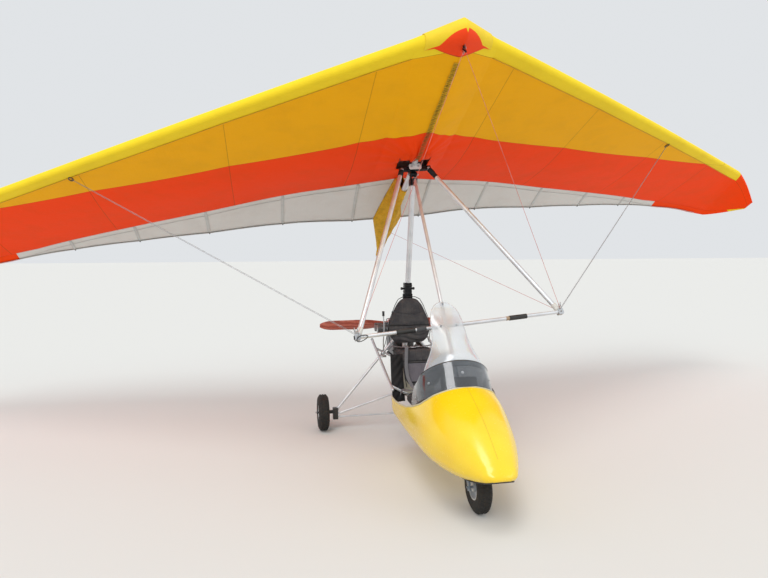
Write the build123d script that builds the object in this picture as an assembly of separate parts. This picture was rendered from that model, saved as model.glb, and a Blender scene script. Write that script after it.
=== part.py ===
from build123d import *
import os
from math import atan, atan2, cos, hypot, radians, sin, sqrt, tan

# A two-seat microlight trike with its flexible wing, standing on its wheels.
# Millimetres. +Z is up, the nose points to -Y, and +X is the pilot's left.
# The ground is Z = 0, X = 0 is the middle of the trike, and Y = 0 is half way along the machine.

REAR_AXLE_Y = 275            # the rear axle's place behind the origin
WHEELBASE = 1917
TRACK = 1627
RUNNING = 0.08               # radial clearance of a shaft in its hole
CLEAR = 6.0                  # least gap between pieces that move past each other
ON_BASE = (Align.CENTER, Align.CENTER, Align.MIN)

# wheels
REAR_TYRE_D = 336
REAR_TYRE_W = 100
FRONT_TYRE_D = 330
FRONT_TYRE_W = 92
RIM_D = 152
RIM_WALL = 4
HUB_D = 56
REAR_AXLE_D = 20
FRONT_AXLE_D = 16

# steering
RAKE = 22                    # degrees that the steering axis leans back from upright
STEM_D = 30
HEAD_D = 48
HEAD_LENGTH = 108
CROWN_GAP = 22               # from the tyre's tread to the fork's crown
CROWN_HEIGHT = 25
LEG_THICK = 8
LEG_DEEP = 42
LEG_GAP = 12                 # from the tyre's side to a fork leg
GUARD_GAP = 11
GUARD_THICK = 3
FOOT_BAR_LENGTH = 400
FOOT_BAR_D = 22

# the trike's tubes: each end is (y behind the rear axle, z above the ground)
KEEL_D = 50
KEEL_REAR = (450, 330)
KEEL_FRONT = (-1790, 418)
TUBE_WALL = 3
MAST_D = 50
MAST_FOOT_Y = 201
MAST_FOOT_Z = 350
STRUT_D = 28
STRUT_FOOT = (-1775, 420)
STRUT_TOP = (-292, 2322)
HUB_BRACKET_IN = 113.5       # from a rear wheel's middle to its hub bracket
HUB_BRACKET_X = TRACK / 2 - HUB_BRACKET_IN
UPPER_STRUT_D = 25
UPPER_STRUT_Z = (172, 930)   # at the hub and at the mast
MIDDLE_STRUT_D = 20
MIDDLE_STRUT_Z = 140         # at the hub; the other end meets the keel
AXLE_TUBE_D = 16
AXLE_TUBE_Z = 118
RAIL_D = 25
RAIL_X = 290
RAIL_FRONT = (-675, 511)
RAIL_REAR = (291, 789)
RAIL_ARM_Y = 110             # where an arm joins each rail to the engine's plate
RAIL_ARM_D = 20
VEE_Y = -608
MAST_BRACKET_Z = 1318        # middle of the bracket behind the rear backrest's top
MAST_BRACKET_DEEP = 108
STRUT_FOOT_BACK = 75         # how far the front strut's foot block runs back from the strut's end
KEEL_BUSH = (16, 80)         # bore radius and length of the bush in the keel's rear end
WING_BUSH = (16, 100)        # the same in the wing keel's rear end

# where the wing hangs
HANG_BOLT = (-249, 2358)
HANG_BOLT_D = 16
HANG_DROP = 66               # from the wing's keel down to the hang bolt
WING_PITCH = 24.4            # degrees nose-up with the bar against the front strut
WING_LEAN = 5.4              # degrees, the left tip high
SLEEVE_D = 78
SLEEVE_LENGTH = 70
LUG_WIDE = 36
EAR_THICK = 9
EAR_D = 52

# the wing, from its own keel's axis at the hang point: y back along the keel, z up
WING_KEEL_D = 50
WING_KEEL_Y = (-1540, 1919)
NOSE_Y = -1561
LE_ANGLE = 61.85             # degrees between the keel and a leading edge
LE_RISE = 2.935              # degrees of dihedral
LE_BOW = 182                 # how far the leading edge's end is bent back
LE_Z = 65
LE_END_RISE = 46
SPAN_INNER = 4766            # where a leading edge ends
TE_ROOT_Y = 1169
TE_SLOPE = 0.163
UNDER_ROOT_Y = 490
UNDER_SLOPE = 0.315
KNEE_ROOT_Y = -70
KNEE_SLOPE = 0.30
SAIL_THICK = 2.5
CAMBER = 0.072               # highest point of the top surface, as a share of the chord
UPRIGHT_D = 38
APEX_X = 122
APEX_Y = -60
APEX_Z = -45
BAR_HALF = 812
BAR_Y = -338
BAR_Z = -1594
BAR_D = 28.6
BAR_OVERHANG = 26
GRIP_D = 38
GRIPS = [(-525, -380), (-368, -295), (380, 525)]    # from and to along the bar
KINGPOST_D = 36
KINGPOST_Y = -95
KINGPOST_TOP = 1150
WIRE_D = 3
SIDE_TANG_X = 2874
REAR_TANG_Y = 1289

# pod: each section is (y, half width, bottom, height of the widest place, top)
POD_SECTIONS = [
    (-2316, 56, 352, 366, 386),
    (-2290, 92, 340, 362, 412),
    (-2240, 124, 322, 358, 452),
    (-2160, 162, 300, 358, 512),
    (-2040, 208, 275, 364, 594),
    (-1890, 250, 255, 374, 672),
    (-1690, 290, 243, 390, 757),
    (-1400, 306, 240, 400, 800),
    (-1050, 310, 240, 405, 800),
    (-720, 304, 240, 405, 780),
]
POD_WALL = 4
# the pod's rim, seen from the side: (y, z), from the front of the cockpit to the back
POD_RIM = [(-1697, 900), (-1697, 745), (-1655, 708), (-1600, 662), (-1523, 610),
           (-1400, 563), (-1250, 522), (-1060, 490), (-880, 470), (-600, 466)]
WHEEL_WELL = (-2112, -1690, 138, 312)    # front, back, half width, top

# engine and propeller
ENGINE_Y = (168, 488)
ENGINE_HALF = 105
CASE_Z = (640, 850)
CYLINDER_D = 124
CYLINDER_TOP = 1012
HEAD_TOP = 1058
PLATE_THICK = 16             # the plate under the engine
PLATE_Z = CASE_Z[0] - PLATE_THICK / 2
FIN_D = 158
FIN_THICK = 4
FIN_PITCH = 13
PORT_Z = 904
SILENCER_X = 245
SILENCER_Z = 655
SILENCER_D = 118
SILENCER_EDGE = 14
SILENCER_WALL = 3
SILENCER_Y = (150, 520)
TAIL_D = 34
TAIL_LENGTH = 55
PROP_Y = 680
PROP_Z = 900
PROP_R = 780
PROP_HUB_D = 130


def spot(x, y, z):
    """A point of the trike: y is counted backwards from the rear axle."""
    return Vector(x, REAR_AXLE_Y + y, z)


def rod(a, b, diameter):
    """A round bar from a to b."""
    start = Vector(*a)
    line = Vector(*b) - start
    return Plane(origin=start, z_dir=line) * Cylinder(diameter / 2, line.length, align=ON_BASE)


def tube(a, b, diameter, wall=TUBE_WALL):
    """A round tube from a to b, open at both ends."""
    return rod(a, b, diameter) - rod(a, b, diameter - 2 * wall)


def block(x, y, z):
    """A box from its lowest to its highest x, y and z, with y counted from the rear axle."""
    size = [high - low for low, high in (x, y, z)]
    return Pos(spot(x[0], y[0], z[0])) * Box(*size, align=(Align.MIN, Align.MIN, Align.MIN))


def wing_block(x, y, z):
    """A box in the wing's own frame."""
    size = [high - low for low, high in (x, y, z)]
    return Pos(x[0], y[0], z[0]) * Box(*size, align=(Align.MIN, Align.MIN, Align.MIN))


def both(shape):
    """A piece and its mirror image on the other side."""
    return [shape, mirror(shape, about=Plane.YZ)]


def along(a, b, t):
    """The point at share t of the way from a to b."""
    return tuple(p + (q - p) * t for p, q in zip(a, b))


def in_side_plane(points):
    """Points (y, z) of the trike as points of the middle plane."""
    return [spot(0, y, z) for y, z in points]


# The keel and the mast as lines, because most fittings lie on one of them.

def keel_z(y):
    share = (y - KEEL_REAR[0]) / (KEEL_FRONT[0] - KEEL_REAR[0])
    return KEEL_REAR[1] + share * (KEEL_FRONT[1] - KEEL_REAR[1])


def mast_y(z):
    share = (z - MAST_FOOT_Z) / (HANG_BOLT[1] - MAST_FOOT_Z)
    return MAST_FOOT_Y + share * (HANG_BOLT[0] - MAST_FOOT_Y)


def on_mast(z):
    return spot(0, mast_y(z), z)


def rail_z(y):
    share = (y - RAIL_FRONT[0]) / (RAIL_REAR[0] - RAIL_FRONT[0])
    return RAIL_FRONT[1] + share * (RAIL_REAR[1] - RAIL_FRONT[1])


MAST_BASE_Z = keel_z(MAST_FOOT_Y) + KEEL_D / 2
MAST_TOP_Z = HANG_BOLT[1] - EAR_D / 2 - 12
KEEL_ROD = rod(spot(0, *KEEL_REAR), spot(0, *KEEL_FRONT), KEEL_D)
MAST_ROD = rod(on_mast(MAST_BASE_Z), on_mast(MAST_TOP_Z), MAST_D)
STRUT_ROD = rod(spot(0, *STRUT_FOOT), spot(0, *STRUT_TOP), STRUT_D)

# The steering axis rises from the front axle, leaning back by the rake.
FRONT_AXLE_Z = FRONT_TYRE_D / 2
REAR_AXLE_Z = REAR_TYRE_D / 2
AXIS = Vector(0, sin(radians(RAKE)), cos(radians(RAKE)))
FRONT_AXLE = spot(0, -WHEELBASE, FRONT_AXLE_Z)
CROWN_LOW = FRONT_TYRE_D / 2 + CROWN_GAP
CROWN_TOP = CROWN_LOW + CROWN_HEIGHT
HEAD_LOW = CROWN_TOP + 10
HEAD_TOP_S = HEAD_LOW + HEAD_LENGTH


def up_axis(s):
    """The point of the steering axis at a distance s above the front axle."""
    return FRONT_AXLE + AXIS * s


STEER_PLANE = Plane(origin=FRONT_AXLE, x_dir=(1, 0, 0), z_dir=AXIS)
HEAD_ROD = rod(up_axis(HEAD_LOW), up_axis(HEAD_TOP_S), HEAD_D)

# The wing's place: its keel lies above the hang bolt, tilted nose-up and leaning to one side.
WING_PLACE = (Pos(spot(0, *HANG_BOLT)) * Rot(X=-WING_PITCH)
              * Pos(0, 0, HANG_DROP) * Rot(Y=-WING_LEAN))
BLOCK_PLACE = Pos(spot(0, *HANG_BOLT)) * Rot(X=-WING_PITCH) * Pos(0, 0, HANG_DROP)


# Trike tubes

def bushed_tube(front, rear, outer, bush):
    """A tube whose bore narrows to a bush inside its rear end."""
    radius, length = bush
    stop = rear + (front - rear).normalized() * length
    return rod(front, rear, outer) - rod(front, stop, outer - 2 * TUBE_WALL) - rod(stop, rear, 2 * radius)


def keel_tube():
    return bushed_tube(spot(0, *KEEL_FRONT), spot(0, *KEEL_REAR), KEEL_D, KEEL_BUSH) - HEAD_ROD


def mast():
    return tube(on_mast(MAST_BASE_Z), on_mast(MAST_TOP_Z), MAST_D) - KEEL_ROD


def front_strut():
    return tube(spot(0, *STRUT_FOOT), spot(0, *STRUT_TOP), STRUT_D, 2.5) - KEEL_ROD - HEAD_ROD


def mast_head():
    """A block on the mast's top with two ears that hold the hang bolt, and the front strut's lug."""
    low = MAST_TOP_Z - 60
    ear_in = LUG_WIDE / 2 + 1.5
    ear_out = ear_in + EAR_THICK
    bolt = spot(0, *HANG_BOLT)
    body = block((-ear_out, ear_out), (mast_y(low) - 44, mast_y(low) + 34), (low, MAST_TOP_Z - 2))
    head = body
    for side in (-1, 1):
        x = side * (ear_in + EAR_THICK / 2)
        web = block((x - EAR_THICK / 2, x + EAR_THICK / 2), (HANG_BOLT[0] - EAR_D / 2, HANG_BOLT[0] + EAR_D / 2),
                    (MAST_TOP_Z - 4, HANG_BOLT[1]))
        eye = Pos(bolt + Vector(x, 0, 0)) * Rot(Y=90) * Cylinder(EAR_D / 2, EAR_THICK)
        head = head + web + eye
    lug = block((-21, 21), (STRUT_TOP[0] - 24, mast_y(low) - 40), (STRUT_TOP[1] - 58, STRUT_TOP[1] - 4))
    head = head + lug
    pin = Pos(bolt) * Rot(Y=90) * Cylinder(HANG_BOLT_D / 2, 2 * ear_out + 24)
    return (head - MAST_ROD - STRUT_ROD) + pin


def frame_fittings():
    """The black fittings on the mast and on the keel."""
    return mast_brackets() + keel_fittings()


def mast_brackets():
    """The black bracket behind the backrest's top, and the collar that takes the upper struts."""
    hinge = Pos(on_mast(MAST_BRACKET_Z)) * Box(66, 78, MAST_BRACKET_DEEP)
    low = MAST_BRACKET_Z - MAST_BRACKET_DEEP / 2
    lip_y = mast_y(low - 24)
    hinge = hinge + block((-45, 45), (lip_y - 31, lip_y), (low - 42, low + 2))
    collar = Pos(on_mast(UPPER_STRUT_Z[1])) * Box(88, 74, 76)
    return [hinge - MAST_ROD, collar - MAST_ROD - upper_rods()[0] - upper_rods()[1]]


def upper_rods():
    a = spot(HUB_BRACKET_X, 0, UPPER_STRUT_Z[0])
    b = spot(MAST_D / 2, mast_y(UPPER_STRUT_Z[1]), UPPER_STRUT_Z[1])
    return both(rod(a, b, UPPER_STRUT_D))


def upper_struts():
    a = spot(HUB_BRACKET_X, 0, UPPER_STRUT_Z[0])
    b = spot(MAST_D / 2, mast_y(UPPER_STRUT_Z[1]), UPPER_STRUT_Z[1])
    return both(tube(a, b, UPPER_STRUT_D, 2) - MAST_ROD)


def middle_strut(hollow=True):
    a = spot(HUB_BRACKET_X, 0, MIDDLE_STRUT_Z)
    b = spot(KEEL_D / 2 - 4, 0, keel_z(0))
    if hollow:
        return tube(a, b, MIDDLE_STRUT_D, 2) - KEEL_ROD
    return rod(a, b, MIDDLE_STRUT_D)


def axle_rod():
    return rod(spot(-HUB_BRACKET_X, 0, AXLE_TUBE_Z), spot(HUB_BRACKET_X, 0, AXLE_TUBE_Z), AXLE_TUBE_D)


def hub_bracket():
    """A block that gathers the struts at a rear wheel, with the stub axle that the wheel turns on."""
    body = block((HUB_BRACKET_X - 24, HUB_BRACKET_X + 22), (-34, 34), (98, 206))
    body = fillet(body.edges().filter_by(Axis.X), 12)
    body = body - upper_rods()[0] - middle_strut(False) - axle_rod()
    shaft = rod(spot(HUB_BRACKET_X + 20, 0, REAR_AXLE_Z),
                spot(TRACK / 2 + REAR_TYRE_W / 2 + 8, 0, REAR_AXLE_Z), REAR_AXLE_D)
    collar = rod(spot(HUB_BRACKET_X + 20, 0, REAR_AXLE_Z),
                 spot(TRACK / 2 - RIM_WIDTH_REAR / 2 - CLEAR, 0, REAR_AXLE_Z), REAR_AXLE_D + 14)
    return body + shaft + collar


def keel_fittings():
    """The mast's foot, the struts' collar, the front strut's foot and the pod's two supports."""
    foot = Pos(spot(0, MAST_FOOT_Y, keel_z(MAST_FOOT_Y) + 22)) * Box(68, 96, 96)
    collar = Pos(spot(0, 0, keel_z(0))) * Box(70, 60, 66)
    foot_y = STRUT_FOOT[0]
    foot_low = keel_z(foot_y + STRUT_FOOT_BACK / 2)
    strut_foot = block((-26, 26), (foot_y + 7, foot_y + STRUT_FOOT_BACK), (foot_low - 14, foot_low + 36))
    pieces = [foot - KEEL_ROD - MAST_ROD,
              collar - KEEL_ROD - middle_strut(False) - mirror(middle_strut(False), about=Plane.YZ),
              strut_foot - KEEL_ROD - STRUT_ROD - HEAD_ROD]
    floor = POD_SECTIONS[-1][2] + POD_WALL
    for y in (-1240, -800):
        pieces.append(block((-70, 70), (y - 25, y + 25), (floor, keel_z(y))) - KEEL_ROD)
    return pieces


def seat_frame():
    """Two side rails, a vee of tubes down to the keel in front, and an arm in to the engine's plate."""
    front = spot(RAIL_X, *RAIL_FRONT)
    rear = spot(RAIL_X, *RAIL_REAR)
    rails = rod(front, rear, RAIL_D)
    vee = rod(spot(RAIL_X, VEE_Y, rail_z(VEE_Y)), spot(0, VEE_Y, keel_z(VEE_Y)), RAIL_D - 3)
    arm = rod(spot(RAIL_X, RAIL_ARM_Y, rail_z(RAIL_ARM_Y)), spot(ENGINE_HALF - 8, RAIL_ARM_Y, PLATE_Z), RAIL_ARM_D)
    arm = arm - block((0, ENGINE_HALF), (0, 2 * RAIL_ARM_Y), (CASE_Z[0] - 200, CASE_Z[0] + 200))
    half = rails + vee + arm + Pos(front) * Sphere(RAIL_D / 2) + Pos(rear) * Sphere(RAIL_D / 2)
    return both(half - KEEL_ROD)


# Seats and tank

FRONT_SEAT_TOP = 500
FRONT_SEAT_Y = (-1130, -640)
SEAT_WIDE = 420
FRONT_BACK_LOW = (-628, 506)
FRONT_BACK_HIGH = (-505, 838)
FRONT_BACK_OUTLINE = [(165, 0), (185, 0.45), (190, 0.85), (172, 1.0)]
BACK_THICK = 48
REAR_SEAT_TOP = 786
REAR_SEAT_Y = (-470, -112)
REAR_BACK_LOW = (-112, 792)
REAR_BACK_HIGH = (-92, 1250)
TANK_Y = (-430, -36)
TANK_HALF = 150
TANK_TOP = 690
TANK_CORNER = 24
TANK_WALL = 5


def panel(low, high, thick, outline):
    """A flat pad that stands on its front face's line from low to high, with an outline
    of (half width, share of the height)."""
    run = hypot(high[0] - low[0], high[1] - low[1])
    up = Vector(0, high[0] - low[0], high[1] - low[1])
    base = Plane(origin=spot(0, *low), x_dir=(1, 0, 0), z_dir=Vector(1, 0, 0).cross(up))
    right = [(w, share * run) for w, share in outline]
    left = [(-w, share * run) for w, share in reversed(outline)]
    face = make_face(Polyline(*right, *left, close=True))
    return extrude(base * face, -thick)


def front_cushion():
    pad = block((-SEAT_WIDE / 2, SEAT_WIDE / 2), FRONT_SEAT_Y, (FRONT_SEAT_TOP - 95, FRONT_SEAT_TOP))
    pad = fillet(pad.edges(), 18)
    return pad - KEEL_ROD


def front_backrest():
    pad = panel(FRONT_BACK_LOW, FRONT_BACK_HIGH, BACK_THICK, FRONT_BACK_OUTLINE)
    return fillet(pad.edges().filter_by(lambda e: e.length < BACK_THICK * 1.01), 14)


def rear_cushion():
    pad = block((-205, 205), REAR_SEAT_Y, (TANK_TOP, REAR_SEAT_TOP))
    pad = fillet(pad.edges().filter_by(Axis.Y), 20)
    back = panel(FRONT_BACK_LOW, FRONT_BACK_HIGH, BACK_THICK + 2,
                 [(300, -0.2), (300, 1.4)])
    front_of_back = panel(FRONT_BACK_LOW, FRONT_BACK_HIGH, -400, [(300, -0.2), (300, 1.4)])
    return pad - back - front_of_back


def rear_backrest():
    pad = panel(REAR_BACK_LOW, REAR_BACK_HIGH, 58,
                [(200, 0), (222, 0.30), (205, 0.52), (150, 0.82), (118, 0.95), (85, 1.0)])
    return fillet(pad.edges().filter_by(lambda e: e.length < 58.5), 16)


def fuel_tank():
    low = keel_z(TANK_Y[0]) + KEEL_D / 2 + 4
    tank = block((-TANK_HALF, TANK_HALF), TANK_Y, (low, TANK_TOP))
    tank = fillet(tank.edges(), TANK_CORNER)
    w = TANK_WALL
    inside = block((-TANK_HALF + w, TANK_HALF - w), (TANK_Y[0] + w, TANK_Y[1] - w), (low + w, TANK_TOP - w))
    return tank - fillet(inside.edges(), TANK_CORNER - w)


# Pod and screens

def pod_profile(y, half, bottom, wide_z, top, wall):
    """One closed section of the pod: a flat floor, bulging sides and a rounded top."""
    half, bottom, top = half - wall, bottom + wall, top - wall
    floor_x = half * 0.62
    shoulder = (half * 0.70, bottom + (top - bottom) * 0.86)
    side_low = (half, wide_z)
    mid_side = (half * 0.955, wide_z + (shoulder[1] - wide_z) * 0.55)
    chine = (half * 0.90, bottom + (wide_z - bottom) * 0.36)

    def at(x, z):
        return spot(x, y, z)

    edges = [
        ThreePointArc(at(-shoulder[0], shoulder[1]), at(0, top), at(*shoulder)),
        ThreePointArc(at(*shoulder), at(*mid_side), at(*side_low)),
        ThreePointArc(at(*side_low), at(*chine), at(floor_x, bottom)),
        Line(at(floor_x, bottom), at(-floor_x, bottom)),
        ThreePointArc(at(-floor_x, bottom), at(-chine[0], chine[1]), at(-half, wide_z)),
        ThreePointArc(at(-half, wide_z), at(-mid_side[0], mid_side[1]), at(-shoulder[0], shoulder[1])),
    ]
    return make_face(Curve() + edges)


def pod_solid(wall):
    rows = list(POD_SECTIONS)
    if wall:
        y, half, bottom, wide_z, top = rows[0]
        rows[0] = (y + wall, half, bottom, wide_z, top)
        y, half, bottom, wide_z, top = rows[-1]
        rows[-1] = (y + 20, half, bottom, wide_z, top)
    return loft([pod_profile(*row, wall) for row in rows], ruled=True)


def pod():
    """The hollow pod, open over the cockpit, at the back and around the front wheel."""
    shell = pod_solid(0) - pod_solid(POD_WALL)
    rim = in_side_plane(POD_RIM + [(POD_RIM[-1][0], POD_RIM[0][1] + 100), (POD_RIM[0][0], POD_RIM[0][1] + 100)])
    opening = extrude(make_face(Polyline(*rim, close=True)), 500, both=True)
    front, back, half, well_top = WHEEL_WELL
    well = block((-half, half), (front, back), (0, well_top))
    return shell - opening - well


def screen_strip(origin, lean, half, sag, leg=0):
    """A thin arc across the pod: origin (y, z) in the middle, its ends behind it by sag along lean,
    and straight legs that run on from the ends along lean."""
    cy, cz = origin
    size = hypot(*lean)
    dy, dz = lean[0] / size, lean[1] / size
    outer_r = (half * half + sag * sag) / (2 * sag)
    inner_r = outer_r - SCREEN_THICK
    swing = 2 * atan(sag / half)

    def at(r, angle, on=0):
        depth = outer_r - r * cos(angle) + on
        return spot(r * sin(angle), cy + dy * depth, cz + dz * depth)

    edges = [ThreePointArc(at(outer_r, -swing), at(outer_r, 0), at(outer_r, swing))]
    if leg:
        edges.append(Line(at(outer_r, swing), at(outer_r, swing, leg)))
    edges.append(Line(at(outer_r, swing, leg), at(inner_r, swing, leg)))
    if leg:
        edges.append(Line(at(inner_r, swing, leg), at(inner_r, swing)))
    edges.append(ThreePointArc(at(inner_r, swing), at(inner_r, 0), at(inner_r, -swing)))
    if leg:
        edges.append(Line(at(inner_r, -swing), at(inner_r, -swing, leg)))
    edges.append(Line(at(inner_r, -swing, leg), at(outer_r, -swing, leg)))
    if leg:
        edges.append(Line(at(outer_r, -swing, leg), at(outer_r, -swing)))
    return make_face(Curve() + edges)


SCREEN_THICK = 3
# each row: middle (y, z), direction of the sag (y, z), half width, sag, leg
LOWER_SCREEN = [
    ((-1685, 722), (415, -222), 276, 276, 190),
    ((-1622, 812), (322, -157), 268, 255, 103),
    ((-1556, 910), (124, -116), 245, 160, 10),
]
# each row: middle (y, z), direction of the sag (y, z), half width, sag
UPPER_SCREEN = [
    ((-1134, 1277), (0.62, -0.78), 24, 1),
    ((-1143, 1265), (0.62, -0.78), 52, 1.5),
    ((-1161, 1244), (0.63, -0.78), 80, 2),
    ((-1196, 1212), (0.64, -0.77), 104, 6),
    ((-1256, 1161), (0.66, -0.75), 121, 21),
    ((-1322, 1106), (0.69, -0.72), 127, 41),
    ((-1390, 1048), (0.73, -0.69), 138, 61),
    ((-1458, 990), (0.77, -0.64), 166, 88),
    ((-1528, 931), (0.80, -0.60), 208, 136),
    ((-1568, 872), (0.82, -0.57), 232, 184),
]


def screen(rows):
    return loft([screen_strip(*row) for row in rows], ruled=True)


def instrument_panel():
    """A small panel on the front strut, behind the lower screen."""
    y, z = along(STRUT_FOOT, STRUT_TOP, 0.16)
    board = Box(250, 46, 120)
    board = fillet(board.edges().filter_by(Axis.Y), 20)
    return Pos(spot(0, y - 4, z)) * Rot(X=-22) * board - STRUT_ROD


# Engine and propeller

def cylinder_places():
    return [ENGINE_Y[0] + 88, ENGINE_Y[0] + 232]


def engine():
    """Crankcase, two finned cylinders and their heads."""
    case = block((-ENGINE_HALF, ENGINE_HALF), ENGINE_Y, CASE_Z)
    case = fillet(case.edges().filter_by(Axis.Y), 26)
    body = case
    fins = int((CYLINDER_TOP - CASE_Z[1]) / FIN_PITCH)
    for y in cylinder_places():
        base = spot(0, y, CASE_Z[1] - 2)
        body = body + rod(base, spot(0, y, CYLINDER_TOP), CYLINDER_D)
        for i in range(fins):
            z = CASE_Z[1] + 6 + i * FIN_PITCH
            body = body + rod(spot(0, y, z), spot(0, y, z + FIN_THICK), FIN_D - 16)
        body = body + rod(spot(0, y, CYLINDER_TOP - 1), spot(0, y, HEAD_TOP), FIN_D - 22)
    return body


def gearbox():
    """The reduction gearbox on the engine's back, with the propeller shaft near its top."""
    y0, y1 = ENGINE_Y[1], ENGINE_Y[1] + 78
    crank_z = (CASE_Z[0] + CASE_Z[1]) / 2
    low = rod(spot(0, y0, crank_z), spot(0, y1, crank_z), 150)
    high = rod(spot(0, y0, PROP_Z), spot(0, y1, PROP_Z), 128)
    middle = block((-62, 62), (y0, y1), (crank_z, PROP_Z))
    shaft = rod(spot(0, y1 - 1, PROP_Z), spot(0, PROP_Y - 45 - CLEAR, PROP_Z), 60)
    spigot = rod(spot(0, y1 - 1, PROP_Z), spot(0, PROP_Y + 20, PROP_Z), 30)
    return low + high + middle + shaft + spigot


def engine_mount():
    """A plate under the engine, held by the mast and by a post on the keel's rear end."""
    plate = block((-ENGINE_HALF, ENGINE_HALF), (70, ENGINE_Y[1] - 10), (CASE_Z[0] - PLATE_THICK, CASE_Z[0]))
    collar = Pos(on_mast(CASE_Z[0] - 20)) * Box(90, 80, 72)
    collar = collar - block((-60, 60), (ENGINE_Y[0] - CLEAR, 400), (CASE_Z[0], 900))
    post_y = KEEL_REAR[0] - 40
    post = block((-28, 28), (post_y - 22, post_y + 22), (keel_z(post_y), CASE_Z[0] - 14))
    return plate + collar + post - MAST_ROD - KEEL_ROD


def exhaust():
    """A pipe from each cylinder into a silencer on the left."""
    x, z = SILENCER_X, SILENCER_Z
    front, back = SILENCER_Y
    can = rod(spot(x, front, z), spot(x, back, z), SILENCER_D)
    can = fillet(can.edges().filter_by(GeomType.CIRCLE), SILENCER_EDGE)
    for y in cylinder_places():
        can = can + rod(spot(FIN_D / 2, y, PORT_Z), spot(x, y, z + 20), 38)
        can = can + block((CYLINDER_D / 2 - 3, FIN_D / 2 + 6), (y - 28, y + 28), (PORT_Z - 24, PORT_Z + 24))
    tail_z = z - 20
    can = can + rod(spot(x, back - 5, tail_z), spot(x, back + TAIL_LENGTH, tail_z), TAIL_D)
    wall = SILENCER_WALL
    inside = rod(spot(x, front + wall, z), spot(x, back - wall, z), SILENCER_D - 2 * wall)
    inside = fillet(inside.edges().filter_by(GeomType.CIRCLE), SILENCER_EDGE - wall)
    inside = inside + rod(spot(x, back - 10, tail_z), spot(x, back + TAIL_LENGTH + 5, tail_z), TAIL_D - 2 * wall)
    return can - inside - engine()


def carburettors():
    """A carburettor and an air filter for each cylinder, on the right."""
    pieces = []
    for y in cylinder_places():
        body = rod(spot(-CYLINDER_D / 2 + 6, y, PORT_Z), spot(-165, y, PORT_Z), 44)
        bowl = rod(spot(-128, y, PORT_Z - 52), spot(-128, y, PORT_Z + 46), 46)
        filter_can = rod(spot(-165, y, PORT_Z), spot(-245, y, PORT_Z), 84)
        pieces.append(body + bowl + filter_can - engine())
    return pieces


def blade_section(radius, chord, thick, pitch):
    """A lens of two arcs across the blade, turned by its pitch."""
    c, t = chord / 2, thick / 2
    lens = Curve() + [ThreePointArc((-c, 0), (0, t), (c, 0)), ThreePointArc((c, 0), (0, -t), (-c, 0))]
    face = make_face(lens)
    place = Plane(origin=spot(radius, PROP_Y, PROP_Z), x_dir=(0, 0, 1), z_dir=(1, 0, 0))
    return place * Rot(Z=90 - pitch) * Rot(Z=90) * face


# each row: share of the radius, chord, thickness, pitch in degrees
BLADE = [
    (0.06, 78, 40, 42),
    (0.22, 98, 30, 34),
    (0.50, 116, 19, 22),
    (0.78, 106, 13, 15),
    (0.94, 78, 9, 12),
    (1.00, 36, 6, 11),
]


def propeller():
    """Two wooden blades and their boss, in one piece."""
    blade = loft([blade_section(share * PROP_R, c, t, p) for share, c, t, p in BLADE])
    other = blade.rotate(Axis(spot(0, PROP_Y, PROP_Z), (0, 1, 0)), 180)
    boss = rod(spot(0, PROP_Y - 28, PROP_Z), spot(0, PROP_Y + 28, PROP_Z), PROP_HUB_D)
    bore = rod(spot(0, PROP_Y - 60, PROP_Z), spot(0, PROP_Y + 60, PROP_Z), 30 + 2 * RUNNING)
    return blade + other + boss - bore


def propeller_hub():
    """A clamping plate on each face of the boss."""
    bore = rod(spot(0, PROP_Y - 60, PROP_Z), spot(0, PROP_Y + 60, PROP_Z), 30 + 2 * RUNNING)
    back = rod(spot(0, PROP_Y + 28, PROP_Z), spot(0, PROP_Y + 34, PROP_Z), PROP_HUB_D - 14)
    front = rod(spot(0, PROP_Y - 28, PROP_Z), spot(0, PROP_Y - 45, PROP_Z), PROP_HUB_D - 14)
    return [back - bore, front - bore]


# Wheels and fork

def wheel_place(side):
    """Where a wheel's middle is: side is -1 for the right, 1 for the left and 0 for the front."""
    if side == 0:
        return FRONT_AXLE
    return spot(side * TRACK / 2, 0, REAR_AXLE_Z)


RIM_WIDTH_REAR = REAR_TYRE_W - 18
RIM_WIDTH_FRONT = FRONT_TYRE_W - 18


def turned(points):
    """A solid of revolution about the x axis from points (x, radius)."""
    face = make_face(Polyline(*[(x, r, 0) for x, r in points], close=True))
    return revolve(face, Axis.X)


def rim(width, axle_d):
    half = width / 2
    seat, lip = RIM_D / 2, RIM_D / 2 + 8
    bore = axle_d / 2 + RUNNING
    hub = HUB_D / 2
    inner = seat - RIM_WALL
    profile = [(-half, bore), (half, bore), (half, hub), (6, hub), (5, inner), (half, inner), (half, lip),
               (half - 4, lip), (half - 4, seat), (-half + 4, seat), (-half + 4, lip), (-half, lip),
               (-half, inner), (-5, inner), (-6, hub), (-half, hub)]
    return turned(profile)


def tyre(diameter, width, rim_width):
    outer, seat, half = diameter / 2, RIM_D / 2, width / 2
    tall = outer - seat
    points = [(-rim_width / 2 + 4, seat), (-half, seat + tall * 0.42), (-half * 0.62, outer - tall * 0.06),
              (half * 0.62, outer - tall * 0.06), (half, seat + tall * 0.42), (rim_width / 2 - 4, seat)]
    a, b, c, d, e, f = [(x, r, 0) for x, r in points]
    side = (-half * 0.98, seat + tall * 0.22, 0)
    shoulder = (-half * 0.90, seat + tall * 0.76, 0)
    edges = [ThreePointArc(a, side, b), ThreePointArc(b, shoulder, c), ThreePointArc(c, (0, outer, 0), d),
             ThreePointArc(d, (-shoulder[0], shoulder[1], 0), e), ThreePointArc(e, (-side[0], side[1], 0), f),
             Line(f, a)]
    return revolve(make_face(Curve() + edges), Axis.X)


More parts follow.
